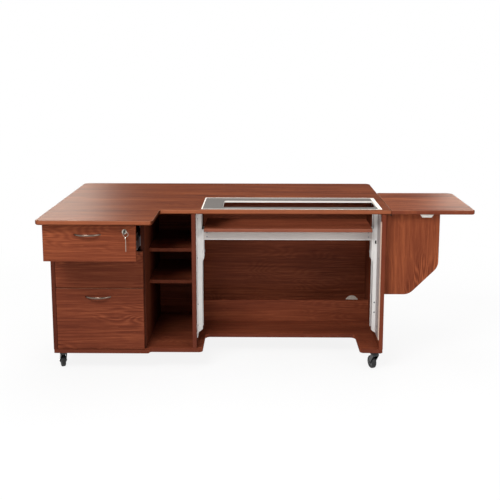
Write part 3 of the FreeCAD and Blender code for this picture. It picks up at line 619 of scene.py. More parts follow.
@dataclass(frozen=True)
class Acrylic:
    """Frosted sheet: matt grey faces, and cut edges painted pale with the light that the sheet carries to
    them.
    """

    name: str
    face: Rgb
    cut: Rgb
    roughness: float = 0.5
    frost: float = 1400.0
    clouds: float = 5.0
    octaves: float = 2.0
    paled: float = 1.12
    edge: Pair = (0.9, 0.5)
    drift: float = 0.2
    depth: float = 0.04 * MM
    softness: float = 0.4
    gloss: float = 0.15
    haze: float = 0.35

    def material(self) -> bpy.types.Material:
        """Build the sheet's nodes.

        Returns:
            The material.
        """
        recipe = Recipe(self.name)
        spot = recipe.split("Object")
        frost = recipe.speckle(spot, self.frost)
        pale = tuple(self.paled * part for part in self.face)
        cloud = recipe.speckle(spot, self.clouds, self.octaves)
        sheet = recipe.mix(cloud, linear(self.face), linear(pale))
        upward = abs(recipe.split("Normal")[2])
        # Painted light: the cut edges are mixed to a pale colour for the light that the sheet carries to
        # them.
        sheet = recipe.mix(upward.rise(*self.edge), sheet, linear(self.cut))
        recipe.bump(frost, self.depth, self.softness)
        return recipe.finish(Base_Color=sheet, Roughness=self.roughness + (frost - 0.5) * self.drift,
                             Specular_IOR_Level=0.0, Coat_Weight=self.gloss, Coat_Roughness=self.haze)


Finish = Union[Laminate, Paint, Metal, Acrylic]

# The front-face tones paint light on the front edges of the worktop and the platform, and shade on those of
# the leaf, the floor board and the uprights.
WORKTOP_BOARD = Laminate("worktop_laminate", Axis.X, Axis.Y, (148, 81, 46), (107, 52, 29), (66, 28, 17),
                         (2.3, 0.4), pitch=62.0, gloss=0.05, haze=0.42, band=(170, 101, 71),
                         band_share=0.5, lee=0.75)
LEAF_BOARD = WORKTOP_BOARD.board("leaf_laminate", (5.1, 1.7), light=(170, 98, 62), middle=(117, 60, 39),
                                 dark=(76, 34, 22), pitch=46.0, contrast=1.1, band=(118, 60, 44), lee=0.3)
UPRIGHT_BOARD = Laminate("upright_laminate", Axis.Z, Axis.Y, band_share=0.8, lee=0.55)
BACK_BOARD = Laminate("back_laminate", Axis.X, Axis.Z)
FLOOR_BOARD = Laminate("floor_laminate", Axis.X, Axis.Y, shift=(7.7, 0.2), band=(96, 47, 34), band_share=0.8)
SHELF_BOARD = Laminate("shelf_laminate", Axis.X, Axis.Y, shift=(9.2, 0.6))
PLATFORM_BOARD = SHELF_BOARD.board("platform_laminate", (6.3, 1.1), band=(146, 90, 72), band_share=0.6)
COVER_CAP = Laminate("cap_laminate", Axis.Z, Axis.Y, shift=(4.4, 0.3), arris=0.0)
GATE_BOARD = Laminate("gate_laminate", Axis.Z, Axis.X, (166, 92, 57), (121, 61, 39), (84, 38, 25),
                      (8.3, 0.2), pitch=58.0, figure=0.42, contrast=0.85, lee=0.6)
# Lit and shaded copies of one front laminate: the lower fronts are darker, painted shade under the open top
# drawer, and the top front is lighter, painted light.
SHADED_LOW_FRONT = Laminate("front_laminate", Axis.X, Axis.Z, (146, 79, 52), (109, 54, 36), (76, 34, 24),
                     arris=0.3, figure=0.24)
LIT_TOP_FRONT = replace(SHADED_LOW_FRONT, light=(161, 89, 57), middle=(121, 61, 40), dark=(86, 40, 26))

WHITE_STEEL = Paint("white_powder_coat", (236, 234, 231), uneven=0.12)
COLUMN_COAT = ColumnCoat("column_powder_coat", (240, 238, 235), uneven=0.12)
# A greyer copy of the white coat for the crossbars: painted shade under the platform.
SHADED_BAR_COAT = Paint("bar_powder_coat", (200, 192, 187), 0.5, uneven=0.16)
NYLON = Paint("white_nylon", (240, 238, 230), 0.5, peel=1500.0, depth=0.03 * MM)
BEIGE = Paint("beige_moulded", (202, 176, 158), peel=1500.0, depth=0.04 * MM)
PALE_CAP = Paint("pale_cap", (252, 240, 226), peel=1500.0, depth=0.04 * MM)
# A pale rim: painted light gathered along the insert's edges.
RIM_LIGHT = Paint("polished_rim", (238, 224, 206), 0.25, 900.0, 0.02 * MM, 0.2, 0.5)
BOX_BOARD = Paint("drawer_board", (52, 40, 36), 0.55, 500.0, 0.05 * MM, 0.6, 0.25)
CASTER_BLACK = Paint("caster_black", (18, 18, 19), 0.24, 1200.0, 0.05 * MM, 0.4, 0.5)
HUB_GREY = Paint("caster_hub", (64, 64, 65), 0.34, 900.0, 0.05 * MM, 0.56, 0.35)
TREAD = Paint("caster_tread", (25, 25, 25), 0.55, 420.0, 0.1 * MM, 0.64, 0.4)

ZINC = Metal("zinc_plate", (156, 157, 160), Axis.Y, 0.36)
ZINC_UPRIGHT = replace(ZINC, name="zinc_plate_upright", lines=Axis.Z)
# Black zinc, also standing in as painted shade: on the caster plates under the cabinet and on the hanger
# screws in the keyholes.
BLACK_ZINC_AND_SHADE = replace(ZINC, name="black_zinc_plate", colour=(44, 42, 41))
SPRING = Metal("spring_strip", (150, 150, 154), Axis.Z, 0.28)
SATIN = Metal("satin_nickel", (122, 104, 93), Axis.X, 0.19)
NICKEL = Metal("bright_nickel", (196, 188, 176), Axis.Z, 0.2, 600.0)
GUNMETAL = Metal("lock_plug_steel", (62, 58, 54), Axis.Z, 0.34, 600.0)

# The pale second colour is painted light on the sheet's cut edges.
FROSTED = Acrylic("frosted_acrylic", (92, 87, 83), (236, 231, 224))


# Surfaces worked out with numpy


def grid_faces(rows: int, cols: int, wrap_rows: bool = False, wrap_cols: bool = False) -> np.ndarray:
    """Quads of a grid of points, row by row.

    Args:
        rows: Points along the first parameter.
        cols: Points along the second.
        wrap_rows: Whether the last row joins the first.
        wrap_cols: Whether the last column joins the first.

    Returns:
        Four indices for each quad.
    """
    row = np.arange(rows if wrap_rows else rows - 1)[:, None]
    col = np.arange(cols if wrap_cols else cols - 1)[None, :]
    after, beside = (row + 1) % rows, (col + 1) % cols
    corners = (row * cols + col, row * cols + beside, after * cols + beside, after * cols + col)
    return np.stack(np.broadcast_arrays(*corners), -1).reshape(-1, 4)


def frame_of(axis: Sequence[float]) -> np.ndarray:
    """Square axes about a direction.

    Args:
        axis: The direction.

    Returns:
        Three unit rows: two across the direction, then the direction itself.
    """
    axis = np.asarray(axis, float) / np.linalg.norm(axis)
    helper = (0.0, 0.0, 1.0) if abs(axis[2]) < NEARLY_UPRIGHT else (1.0, 0.0, 0.0)
    side = np.cross(axis, helper)
    side /= np.linalg.norm(side)
    return np.stack((side, np.cross(axis, side), axis))


def lathe(profile: np.ndarray, turns: int) -> Mesh:
    """Turn a profile about the local third axis: (r cos t, r sin t, h) for each radius and height.

    Args:
        profile: Radius and height of each ring, in metres.
        turns: Points round.

    Returns:
        Points and quads.
    """
    radius, height = profile.T
    angle = np.linspace(0, TAU, turns, endpoint=False)
    points = np.stack((np.outer(radius, np.cos(angle)), np.outer(radius, np.sin(angle)),
                       np.broadcast_to(height[:, None], (len(height), turns))), -1)
    return points.reshape(-1, 3), grid_faces(len(height), turns, wrap_cols=True)


def closed(profile: np.ndarray) -> np.ndarray:
    """A profile that comes back to its first point."""
    return np.concatenate((profile, profile[:1]))


def mirrored(side: np.ndarray) -> np.ndarray:
    """A closed profile: one side, then its mirror image back to the start."""
    return closed(np.concatenate((side, side[::-1] * (1, -1))))


def scatter(shape: Mesh, places: Iterable[Sequence[float]], axis: Sequence[float]) -> Mesh:
    """Copies of a shape with its third axis along axis, one at each place.

    Args:
        shape: Points and quads of one copy.
        places: Where each copy's origin goes.
        axis: Which way the copies face.

    Returns:
        Points and quads of all copies.
    """
    points, faces = shape
    spots = np.asarray(list(places), float)
    every = (spots[:, None, :] + (points @ frame_of(axis))[None, :, :]).reshape(-1, 3)
    start = np.arange(len(spots))[:, None, None] * len(points)
    return every, (faces[None, :, :] + start).reshape(-1, 4)


def joined(*shapes: Mesh) -> Mesh:
    """Put several shapes together.

    Args:
        shapes: Points and quads of each.

    Returns:
        Points and quads of them all.
    """
    starts = np.cumsum([0] + [len(points) for points, _ in shapes[:-1]])
    return (np.concatenate([points for points, _ in shapes]),
            np.concatenate([faces + start for (_, faces), start in zip(shapes, starts)]))


def capped(rings: np.ndarray) -> Mesh:
    """A tube through rings of points, closed at both ends.

    Args:
        rings: Points by ring and place in the ring.

    Returns:
        Points and quads.
    """
    ends = [np.repeat(rings[end].mean(0)[None, None, :], rings.shape[1], 1) for end in (0, -1)]
    whole = np.concatenate((ends[0], rings, ends[1]))
    return whole.reshape(-1, 3), grid_faces(len(whole), rings.shape[1], wrap_cols=True)


def tube(x: np.ndarray, y: np.ndarray, z: np.ndarray) -> Mesh:
    """A capped tube from the three parts of its points, each by ring, by place in the ring, or both."""
    return capped(np.stack(np.broadcast_arrays(x, y, z), -1))


def winding(inner: float, outer: float, width: float, turns: int, gauge: float) -> Mesh:
    """A strip wound on itself: its radius grows evenly with the angle, r = inner + rise * t / turns.

    Args:
        inner: Radius where it starts, in metres.
        outer: Radius of the last turn's outer face.
        width: Of the strip, along the local third axis.
        turns: How often it goes round.
        gauge: The strip's thickness.

    Returns:
        Points and quads.
    """
    steps = 40
    turn = np.linspace(0, turns, steps * turns + 1)[:, None]
    out = np.array((0.0, gauge, gauge, 0.0))[None, :]
    side = np.array((-0.5, -0.5, 0.5, 0.5))[None, :]
    radius = inner + (outer - gauge - inner) * turn / turns + out
    return tube(radius * np.cos(TAU * turn), radius * np.sin(TAU * turn), side * width)


def border(outer: np.ndarray, inner: np.ndarray, section: np.ndarray) -> Mesh:
    """A section carried round between two closed paths with the same number of corners.

    A point of the section at (share, up) lies at outer + (inner - outer) * share + up.

    Args:
        outer: Corners of the outer path in order.
        inner: Corners of the inner path.
        section: Share of the way in and rise of each point, in metres.

    Returns:
        Points and quads.
    """
    share, rise = section.T
    points = outer[:, None, :] + (inner - outer)[:, None, :] * share[None, :, None]
    points[:, :, 2] += rise
    return points.reshape(-1, 3), grid_faces(len(outer), len(section), True, True)


@dataclass(frozen=True)
class ScrewHead:
    """Pan head with a cross recess."""

    radius: float
    height: float
    dome_share: float = 0.8
    arm_share: float = 0.2
    reach_share: float = 0.68
    sink_share: float = 0.5
    foot_share: float = 0.1
    rings: int = 8
    turns: int = 24

    def mesh(self) -> Mesh:
        """A dome over radius and angle, less a cross of constant width.

        The dome's height at a share s of the radius is height * sqrt(1 - dome_share * s squared).

        Returns:
            Points and quads, standing on the local third axis.
        """
        share = np.linspace(1.0, 0.0, self.rings)[:, None]
        angle = np.linspace(0, TAU, self.turns, endpoint=False)[None, :]
        x, y = self.radius * share * np.cos(angle), self.radius * share * np.sin(angle)
        arm = np.minimum(np.abs(x), np.abs(y)) < self.arm_share * self.radius
        sunk = np.where(arm & (share < self.reach_share), self.sink_share, 0.0)
        z = self.height * (np.sqrt(1 - self.dome_share * share ** 2) - sunk)
        foot = np.stack((x[0], y[0], np.full(self.turns, -self.foot_share * self.height)), -1)
        points = np.concatenate((foot, np.stack((x, y, z), -1).reshape(-1, 3)))
        return points, grid_faces(self.rings + 1, self.turns, wrap_cols=True)


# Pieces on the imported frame


@dataclass(frozen=True)
class Span:
    """A run from one body to another, given by its start and end."""

    first: str
    second: str
    start: Point
    end: Point


class Workshop:
    """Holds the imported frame, and turns finishes and shapes into dressed nodes and fitted pieces."""

    def __init__(self) -> None:
        """Load the frame and keep its box."""
        self.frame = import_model()
        self.cad_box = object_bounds()
        self.made: dict[str, bpy.types.Material] = {}

    def material(self, finish: Finish) -> bpy.types.Material:
        """Make the material of a finish, once.

        Args:
            finish: The finish.

        Returns:
            Its material.
        """
        if finish.name not in self.made:
            self.made[finish.name] = finish.material()
        return self.made[finish.name]

    def dress(self, finish: Finish, *nodes: str) -> None:
        """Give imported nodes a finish.

        Args:
            finish: The finish.
            nodes: Names of the nodes.
        """
        for name in nodes:
            piece = self.frame["nodes"][name]
            piece.data.materials.clear()
            piece.data.materials.append(self.material(finish))
            LOG.info("dressed %s in %s", name, finish.name)

    def fit(self, name: str, shape: Mesh, finish: Finish, body: Union[str, Span], slot: str,
            stands_for: Sequence[str] = ()) -> None:
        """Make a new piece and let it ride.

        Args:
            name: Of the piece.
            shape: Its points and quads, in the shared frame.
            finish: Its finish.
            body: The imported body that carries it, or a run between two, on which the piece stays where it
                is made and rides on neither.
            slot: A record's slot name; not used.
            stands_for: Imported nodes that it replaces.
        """
        mesh = bpy.data.meshes.new(name)
        points, faces = shape
        mesh.from_pydata(points.tolist(), [], faces.tolist())
        shell = bmesh.new()
        shell.from_mesh(mesh)
        bmesh.ops.remove_doubles(shell, verts=shell.verts, dist=SAME_POINT)
        bmesh.ops.recalc_face_normals(shell, faces=shell.faces)
        shell.to_mesh(mesh)
        shell.free()
        mesh.materials.append(self.material(finish))
        mesh.polygons.foreach_set("use_smooth", np.ones(len(mesh.polygons), bool))
        mesh.set_sharp_from_angle(angle=CREASE)
        piece = bpy.data.objects.new(name, mesh)
        bpy.context.scene.collection.objects.link(piece)
        if isinstance(body, Span):
            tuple(body.start)
            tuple(body.end)
            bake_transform(piece)
        else:
            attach(piece, body)
        if stands_for:
            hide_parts(*stands_for)
        LOG.info("fitted %s on %s", name, body)

    def joint(self, name: str) -> dict:
        """A joint of the record by its name."""
        return next(j for j in self.frame["joints"] if j["name"] == name)


@dataclass
class Worktop:
    """The L-shaped top, the lift-out insert and the drop leaf."""

    shop: Workshop
    rim_left: float = 5.5 * MM
    rim_right: float = 17.5 * MM
    rim_front: float = 6.0 * MM
    rim_back: float = 9.0 * MM
    rim_gap: float = 0.1 * MM
    rim_rise: float = 0.4 * MM
    rim_shares: tuple[Pair, ...] = ((0, -1), (0, 0.3), (0.2, 1), (0.8, 1), (1, 0.2), (1, -1))
    screw: ScrewHead = ScrewHead(2.6 * MM, 1.2 * MM)
    plate: float = 1.4 * MM
    seam_inset: float = 14.0 * MM
    hinge_rows: tuple[float, ...] = (16.0 * MM, 337.0 * MM, 432.0 * MM)
    screw_step: float = 9.0 * MM

    def build(self) -> None:
        """Dress the boards, and add the insert's rim with its painted light and the hinge screws."""
        self.shop.dress(WORKTOP_BOARD, "table_top")
        self.shop.dress(LEAF_BOARD, "drop_leaf")
        self.shop.dress(FROSTED, "acrylic_insert")
        self.shop.dress(BLACK_ZINC_AND_SHADE, "leaf_hinge_fixed", "leaf_hinge_moving")
        self.rim()
        self.hinge_screws("leaf_hinge_fixed", "cabinet", -1)
        self.hinge_screws("leaf_hinge_moving", "leaf", 1)

    def rim(self) -> None:
        """Carry a low polished bevel round the top of the insert, painted pale with the light gathered along
        its edges.
        """
        outer = self.rim_path(self.rim_gap, self.rim_gap, self.rim_gap, self.rim_gap)
        inner = self.rim_path(self.rim_left, self.rim_right, self.rim_front, self.rim_back)
        section = np.multiply(self.rim_shares, (1, self.rim_rise))
        self.shop.fit("insert_rim", border(outer, inner, section), RIM_LIGHT, "insert", "frosted_acrylic")

    @staticmethod
    def rim_path(left: float, right: float, front: float, back: float) -> np.ndarray:
        """A path on the insert's top, in from its edges.

        Args:
            left: How far in from the left edge, in metres.
            right: From the right edge.
            front: From the front edge.
            back: From the back edge.

        Returns:
            Its four corners in order.
        """
        low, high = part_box("acrylic_insert")
        x0, x1, y0, y1 = low.x + left, high.x - right, low.y + front, high.y - back
        return np.array([(x, y, high.z) for x, y in ((x0, y0), (x1, y0), (x1, y1), (x0, y1))])

    def hinge_screws(self, node: str, body: str, side: int) -> None:
        """Put two screws in each hinge plate under the boards.

        Args:
            node: The hinge halves.
            body: What they ride on.
            side: -1 for the plates left of the seam, 1 for those right of it.
        """
        low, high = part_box(node)
        x = high.x - self.seam_inset if side < 0 else low.x + self.seam_inset
        places = [(x, low.y + row + step, high.z - self.plate) for row in self.hinge_rows
                  for step in (-self.screw_step, self.screw_step)]
        self.shop.fit(node + "_screws", scatter(self.screw.mesh(), places, (0, 0, -1)), BLACK_ZINC_AND_SHADE, body,
                      "zinc_steel")


@dataclass
class Carcass:
    """Side panels, dividers, backs, floor board, shelves, rail and the small fittings on them.

    bead holds points of the grommet's bead: how far in from its rim, and out from its face.
    """

    shop: Workshop
    panel_step: Pair = (1.3, 0.7)
    back_shift: Pair = (3.1, 0.0)
    back_step: Pair = (1.0, 0.9)
    cap_radius: float = 6.5 * MM
    cap_rise: float = 0.7 * MM
    cap_shares: tuple[Pair, ...] = ((1, -1), (1, 0.3), (0.8, 1), (0, 1))
    cap_edge: float = 40.0 * MM
    cap_height: float = 300.0 * MM
    cap_depth: float = 60.0 * MM
    cap_turns: int = 28
    bead: tuple[Pair, ...] = ((3.6 * MM, -0.2 * MM), (3.1 * MM, 0.9 * MM), (1.6 * MM, 1.3 * MM),
                              (0.4 * MM, 0.8 * MM), (0.1 * MM, -0.2 * MM))
    bead_turns: int = 56
    screw: ScrewHead = ScrewHead(3.2 * MM, 1.4 * MM)
    bracket_half: float = 10.0 * MM
    bracket_leg: float = 14.0 * MM
    bracket_steel: float = 2.0 * MM

    def build(self) -> None:
        """Dress every board by the way its grain runs, then add caps and screws."""
        # Painted shade on each upright's front edge, darkest on the divider's edge, which sits back between
        # the drawers and the bay.
        front_light_shades = {"left_side_panel": (72, 33, 25), "drawer_divider": (42, 19, 15),
                 "knee_panel": (92, 46, 35), "right_side_panel": (108, 52, 36)}
        for place, (node, band) in enumerate(front_light_shades.items()):
            board = UPRIGHT_BOARD.board(node + "_laminate", stepped((0, 0), self.panel_step, place))
            self.shop.dress(replace(board, band=band), node)
        for place, node in enumerate(("pedestal_back_panel", "knee_back_panel", "cable_rail")):
            shift = stepped(self.back_shift, self.back_step, place)
            self.shop.dress(BACK_BOARD.board(node + "_laminate", shift), node)
        self.shop.dress(FLOOR_BOARD, "base_plate")
        self.shop.dress(SHELF_BOARD, "shelves")
        self.shop.dress(BEIGE, "cable_raceway")
        self.shop.dress(PALE_CAP, "cable_grommet")
        self.shop.dress(ZINC_UPRIGHT, "top_brackets")
        self.shop.dress(SATIN, "shelf_pins")
        self.cover_caps()
        self.bracket_screws()
        self.grommet_bead()

    def cover_caps(self) -> None:
        """Put shallow caps over the fixing screws of the outer sides."""
        dome = lathe(np.multiply(self.cap_shares, (self.cap_radius, self.cap_rise)), self.cap_turns)
        for node, face in (("left_side_panel", -1), ("right_side_panel", 1)):
            low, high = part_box(node)
            front, back = low.y + self.cap_depth, high.y - self.cap_depth
            x, depths = (low.x, (front, back)) if face < 0 else (high.x, (back,))
            rows = (low.z + self.cap_edge, low.z + self.cap_height, high.z - self.cap_edge)
            places = [(x, y, z) for y in depths for z in rows]
            self.shop.fit(node + "_caps", scatter(dome, places, (face, 0, 0)), COVER_CAP, "cabinet",
                          "carcass_laminate")

    def bracket_screws(self) -> None:
        """Put a screw through each leg of the angle brackets under the top."""
        low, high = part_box("top_brackets")
        rows = (low.y + self.bracket_half, high.y - self.bracket_half)
        walls = {1: [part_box(node)[1].x for node in ("left_side_panel", "drawer_divider")],
                 -1: [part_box(node)[0].x for node in ("knee_panel", "right_side_panel")]}
        head = self.screw.mesh()
        shapes = []
        for side, faces in walls.items():
            for out, down, look in ((self.bracket_leg, self.bracket_steel, (0, 0, -1)),
                                    (self.bracket_steel, self.bracket_leg, (side, 0, 0))):
                places = [(x + side * out, y, high.z - down) for x in faces for y in rows]
                shapes.append(scatter(head, places, look))
        self.shop.fit("bracket_screws", joined(*shapes), ZINC, "cabinet", "zinc_steel")

    def grommet_bead(self) -> None:
        """Turn the raised bead on the grommet's flange."""
        low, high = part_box("cable_grommet")
        rim = (high.z - low.z) / 2
        bead = lathe(closed((rim, 0) + np.multiply(self.bead, (-1, 1))), self.bead_turns)
        place = ((low.x + high.x) / 2, low.y, (low.z + high.z) / 2)
        self.shop.fit("grommet_bead", scatter(bead, [place], (0, -1, 0)), PALE_CAP, "cabinet",
                      "beige_plastic")


@dataclass
class DrawerBank:
    """Three drawers on telescopic slides, with bow pulls and a lock on the top one."""

    shop: Workshop
    front_shift: Pair = (5.3, 0.5)
    front_step: Pair = (2.7, 1.0)
    bar: float = 5.0 * MM
    tip: float = 2.6 * MM
    sink: float = 0.4 * MM
    taper_share: float = 0.75
    foot_share: float = 0.55
    steps: int = 48
    turns: int = 20
    web: float = 7.9 * MM
    slide_end: float = 40.0 * MM
    screw: ScrewHead = ScrewHead(3.2 * MM, 1.2 * MM)

    def build(self) -> None:
        """Dress fronts, boxes, slides and lock, and put the swept pulls and the slides' screws in."""
        for place, drawer in enumerate(Drawer):
            name = drawer.value
            # Painted light on the top front, painted shade on the lower fronts.
            front = LIT_TOP_FRONT if drawer is Drawer.TOP else SHADED_LOW_FRONT
            shift = stepped(self.front_shift, self.front_step, place)
            self.shop.dress(front.board(f"{name}_front_laminate", shift), f"drawer_front_{name}")
            self.shop.dress(BOX_BOARD, f"drawer_box_{name}")
            self.shop.dress(ZINC, f"slide_inner_{name}", f"slide_mid_{name}")
            self.pull(drawer)
            self.slide_screws(drawer)
        self.shop.dress(ZINC, "slide_outer_rails", "lock_strike")
        self.shop.dress(NICKEL, "lock_body", "key_ring")
        self.shop.dress(GUNMETAL, "lock_plug", "key")

    def pull(self, drawer: Drawer) -> None:
        """Sweep a bow pull that tapers to its feet.

        The path is the arc through the feet and the node's foremost point. At each angle the
        section is an ellipse of the bar's depth and height, both falling towards the feet, and no
        point goes further back than a little way into the front.

        Args:
            drawer: Which drawer's pull.
        """
        node = f"pull_{drawer.value}"
        low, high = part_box(node)
        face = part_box(f"drawer_front_{drawer.value}")[0].y
        half, reach = (high.x - low.x) / 2, face - low.y
        radius = (half ** 2 + reach ** 2) / (2 * reach)
        share = np.linspace(-1, 1, self.steps)[:, None]
        angle = share * math.asin(half / radius)
        swell = np.sqrt(1 - self.taper_share * share ** 2)
        depth = self.tip + (self.bar - self.tip) * swell
        height = (high.z - low.z) * (self.foot_share + (1 - self.foot_share) * swell)
        turn = np.linspace(0, TAU, self.turns, endpoint=False)[None, :]
        away = radius - depth / 2 + depth / 2 * np.cos(turn)
        x = (low.x + high.x) / 2 + away * np.sin(angle)
        y = np.minimum(low.y + radius - away * np.cos(angle), face + self.sink)
        z = (low.z + high.z) / 2 + height / 2 * np.sin(turn)
        self.shop.fit(f"bow_{node}", tube(x, y, z), SATIN, drawer.body, "satin_pull", (node,))

    def slide_screws(self, drawer: Drawer) -> None:
        """Put three screws in each slide member on the drawer's sides.

        Args:
            drawer: Which drawer's slides.
        """
        low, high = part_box(f"slide_inner_{drawer.value}")
        depths = (low.y + self.slide_end, (low.y + high.y) / 2, high.y - self.slide_end)
        height = (low.z + high.z) / 2
        sides = [scatter(self.screw.mesh(), [(x, y, height) for y in depths], (look, 0, 0))
                 for x, look in ((low.x + self.web, -1), (high.x - self.web, 1))]
        self.shop.fit(f"slide_screws_{drawer.value}", joined(*sides), ZINC, drawer.body, "zinc_steel")


@dataclass
class LiftFrame:
    """The lift: columns, carriages, crossbars, strip springs and the platform."""

    shop: Workshop
    hanger: ScrewHead = ScrewHead(4.1 * MM, 1.2 * MM)
    hanger_step: float = 8.0 * MM
    hanger_inset: float = 10.0 * MM
    column_depth: float = 69.0 * MM
    keyhole: float = 438.0 * MM
    screw: ScrewHead = ScrewHead(3.4 * MM, 1.6 * MM)
    bar_end: float = 16.0 * MM
    bar_edge: float = 14.0 * MM
    roll: float = 1.6 * MM
    roll_inset: float = 0.6 * MM
    roll_end: float = 1.0 * MM
    roll_share: float = 0.6
    roll_turns: int = 16
    hub: float = 5.0 * MM
    hub_half: float = 8.0 * MM
    hub_shares: tuple[Pair, ...] = ((0, -1), (0.8, -1), (1, -0.9), (1, 0.9), (0.8, 1), (0, 1))
    hub_turns: int = 32
    gauge: float = 0.55 * MM
    windings: int = 10
    strip: float = 14.0 * MM
    cup: float = 0.8 * MM
    cup_steps: int = 9
    strip_steps: int = 25

    def build(self) -> None:
        """Dress the lift, wind its springs and screw its bars to the carriages."""
        self.shop.dress(COLUMN_COAT, "lift_columns")
        self.shop.dress(WHITE_STEEL, "lift_carriages")
        # The crossbars' coat carries painted shade.
        self.shop.dress(SHADED_BAR_COAT, "lift_crossbars")
        self.shop.dress(NYLON, "lift_shoes")
        self.shop.dress(ZINC, "column_screws")
        self.shop.dress(PLATFORM_BOARD, "lift_platform")
        self.springs()
        self.strips()
        self.bar_screws()
        self.hems()
        self.hangers()

    def strip_middles(self) -> Pair:
        """Where the two strips' middles lie along X."""
        low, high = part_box("balance_strips")
        return low.x + self.strip / 2, high.x - self.strip / 2

    def springs(self) -> None:
        """Wind a strip on a hub with rounded ends at the top of each column."""
        low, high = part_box("balance_coils")
        places = [(x, (low.y + high.y) / 2, (low.z + high.z) / 2) for x in self.strip_middles()]
        coil = winding(self.hub, (high.z - low.z) / 2, self.strip, self.windings, self.gauge)
        self.shop.fit("balance_windings", scatter(coil, places, (1, 0, 0)), SPRING, "cabinet",
                      "spring_steel", ("balance_coils",))
        pin = lathe(np.multiply(self.hub_shares, (self.hub, self.hub_half)), self.hub_turns)
        self.shop.fit("balance_hubs", scatter(pin, places, (1, 0, 0)), ZINC, "cabinet", "spring_steel")

    def strips(self) -> None:
        """Draw each spring's free strip from its coil to its shoe.

        Across its width the strip is cupped: it stands back by cup * (1 - share squared), with a
        share of -1 and 1 at its edges.
        """
        low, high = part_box("balance_strips")
        share = np.linspace(-1, 1, self.cup_steps)
        bulge = self.cup * (1 - share ** 2)
        across = np.concatenate((share, share[::-1]))[None, :] * self.strip / 2
        depth = np.concatenate((low.y + bulge, high.y + bulge[::-1]))[None, :]
        heights = np.linspace(high.z, low.z, self.strip_steps)[:, None]
        ribbons = [tube(middle + across, depth, heights) for middle in self.strip_middles()]
        span = Span("cabinet", "lift", (low.x, low.y, high.z), (low.x, low.y, low.z))
        self.shop.fit("balance_ribbons", joined(*ribbons), SPRING, span, "spring_steel", ("balance_strips",))

    def bar_screws(self) -> None:
        """Put two screws at each end of the crossbars' outer faces."""
        low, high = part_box("lift_crossbars")
        places = [(x, z) for x in (low.x + self.bar_end, high.x - self.bar_end)
                  for z in (low.z + self.bar_edge, high.z - self.bar_edge)]
        rows = [scatter(self.screw.mesh(), [(x, y, z) for x, z in places], (0, look, 0))
                for y, look in ((low.y, -1), (high.y, 1))]
        self.shop.fit("crossbar_screws", joined(*rows), ZINC, "lift", "zinc_steel")

    def hems(self) -> None:
        """Roll a hem along the lower edge of each crossbar's web: a round rod partly above the edge."""
        low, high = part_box("lift_crossbars")
        turn = np.linspace(0, TAU, self.roll_turns, endpoint=False)[None, :]
        ends = np.array((low.x + self.roll_end, high.x - self.roll_end))[:, None]
        z = low.z + self.roll * (self.roll_share + np.sin(turn))
        hems = [tube(ends, y + self.roll * np.cos(turn), z)
                for y in (low.y + self.roll_inset, high.y - self.roll_inset)]
        self.shop.fit("crossbar_hems", joined(*hems), WHITE_STEEL, "lift", "white_steel")

    def hangers(self) -> None:
        """Put the screws that each column hangs on into its keyhole; their black finish paints the shade
        inside the keyholes.
        """
        low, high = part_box("lift_columns")
        middle = (low.y + high.y) / 2
        rows = (low.z + self.keyhole, low.z + self.keyhole + self.hanger_step)
        sides = []
        for x, look in ((high.x - self.hanger_inset, -1), (low.x + self.hanger_inset, 1)):
            places = [(x, middle + look * self.column_depth / 2, z) for z in rows]
            sides.append(scatter(self.hanger.mesh(), places, (0, look, 0)))
        self.shop.fit("hanger_screws", joined(*sides), BLACK_ZINC_AND_SHADE, "cabinet", "zinc_steel")


@dataclass
class GateLeg:
    """The swing-out gate that carries the leaf, with its hinges and the leaf's stop."""

    shop: Workshop
    screw: ScrewHead = ScrewHead(3.0 * MM, 1.3 * MM)
    half_length: float = 25.0 * MM
    plate: float = 1.4 * MM
    inset: float = 9.0 * MM
    reach: float = 13.0 * MM
    stagger: float = 5.0 * MM

    def build(self) -> None:
        """Dress the gate and put the screws in its hinge plates."""
        self.shop.dress(GATE_BOARD, "gate_panel")
        self.shop.dress(NYLON, "gate_stop")
        self.shop.dress(ZINC_UPRIGHT, "gate_hinge_fixed", "gate_hinge_moving")
        fixed_low, fixed_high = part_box("gate_hinge_fixed")
        middles = (fixed_low.z + self.half_length, fixed_high.z - self.half_length)
        self.hinge_screws("gate_hinge_fixed", "cabinet", (1, 0, 0), [z - self.stagger for z in middles],
                          (fixed_low.x + self.plate, fixed_high.y - self.inset))
        moving_low, moving_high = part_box("gate_hinge_moving")
        self.hinge_screws("gate_hinge_moving", "gate", (0, 1, 0), [z + self.stagger for z in middles],
                          (moving_high.x - self.inset, moving_low.y + self.plate))

    def hinge_screws(self, node: str, body: str, look: Point, middles: Sequence[float], spot: Pair) -> None:
        """Put two screws in each plate of one half, staggered so that the halves can fold together.

        Args:
            node: The hinge halves.
            body: What they ride on.
            look: Which way the heads face.
            middles: Heights of the pairs' middles, in metres.
            spot: The row's place in X and Y.
        """
        places = [(*spot, z + step) for z in middles for step in (-self.reach, self.reach)]
        self.shop.fit(node + "_screws", scatter(self.screw.mesh(), places, look), ZINC, body, "zinc_steel")


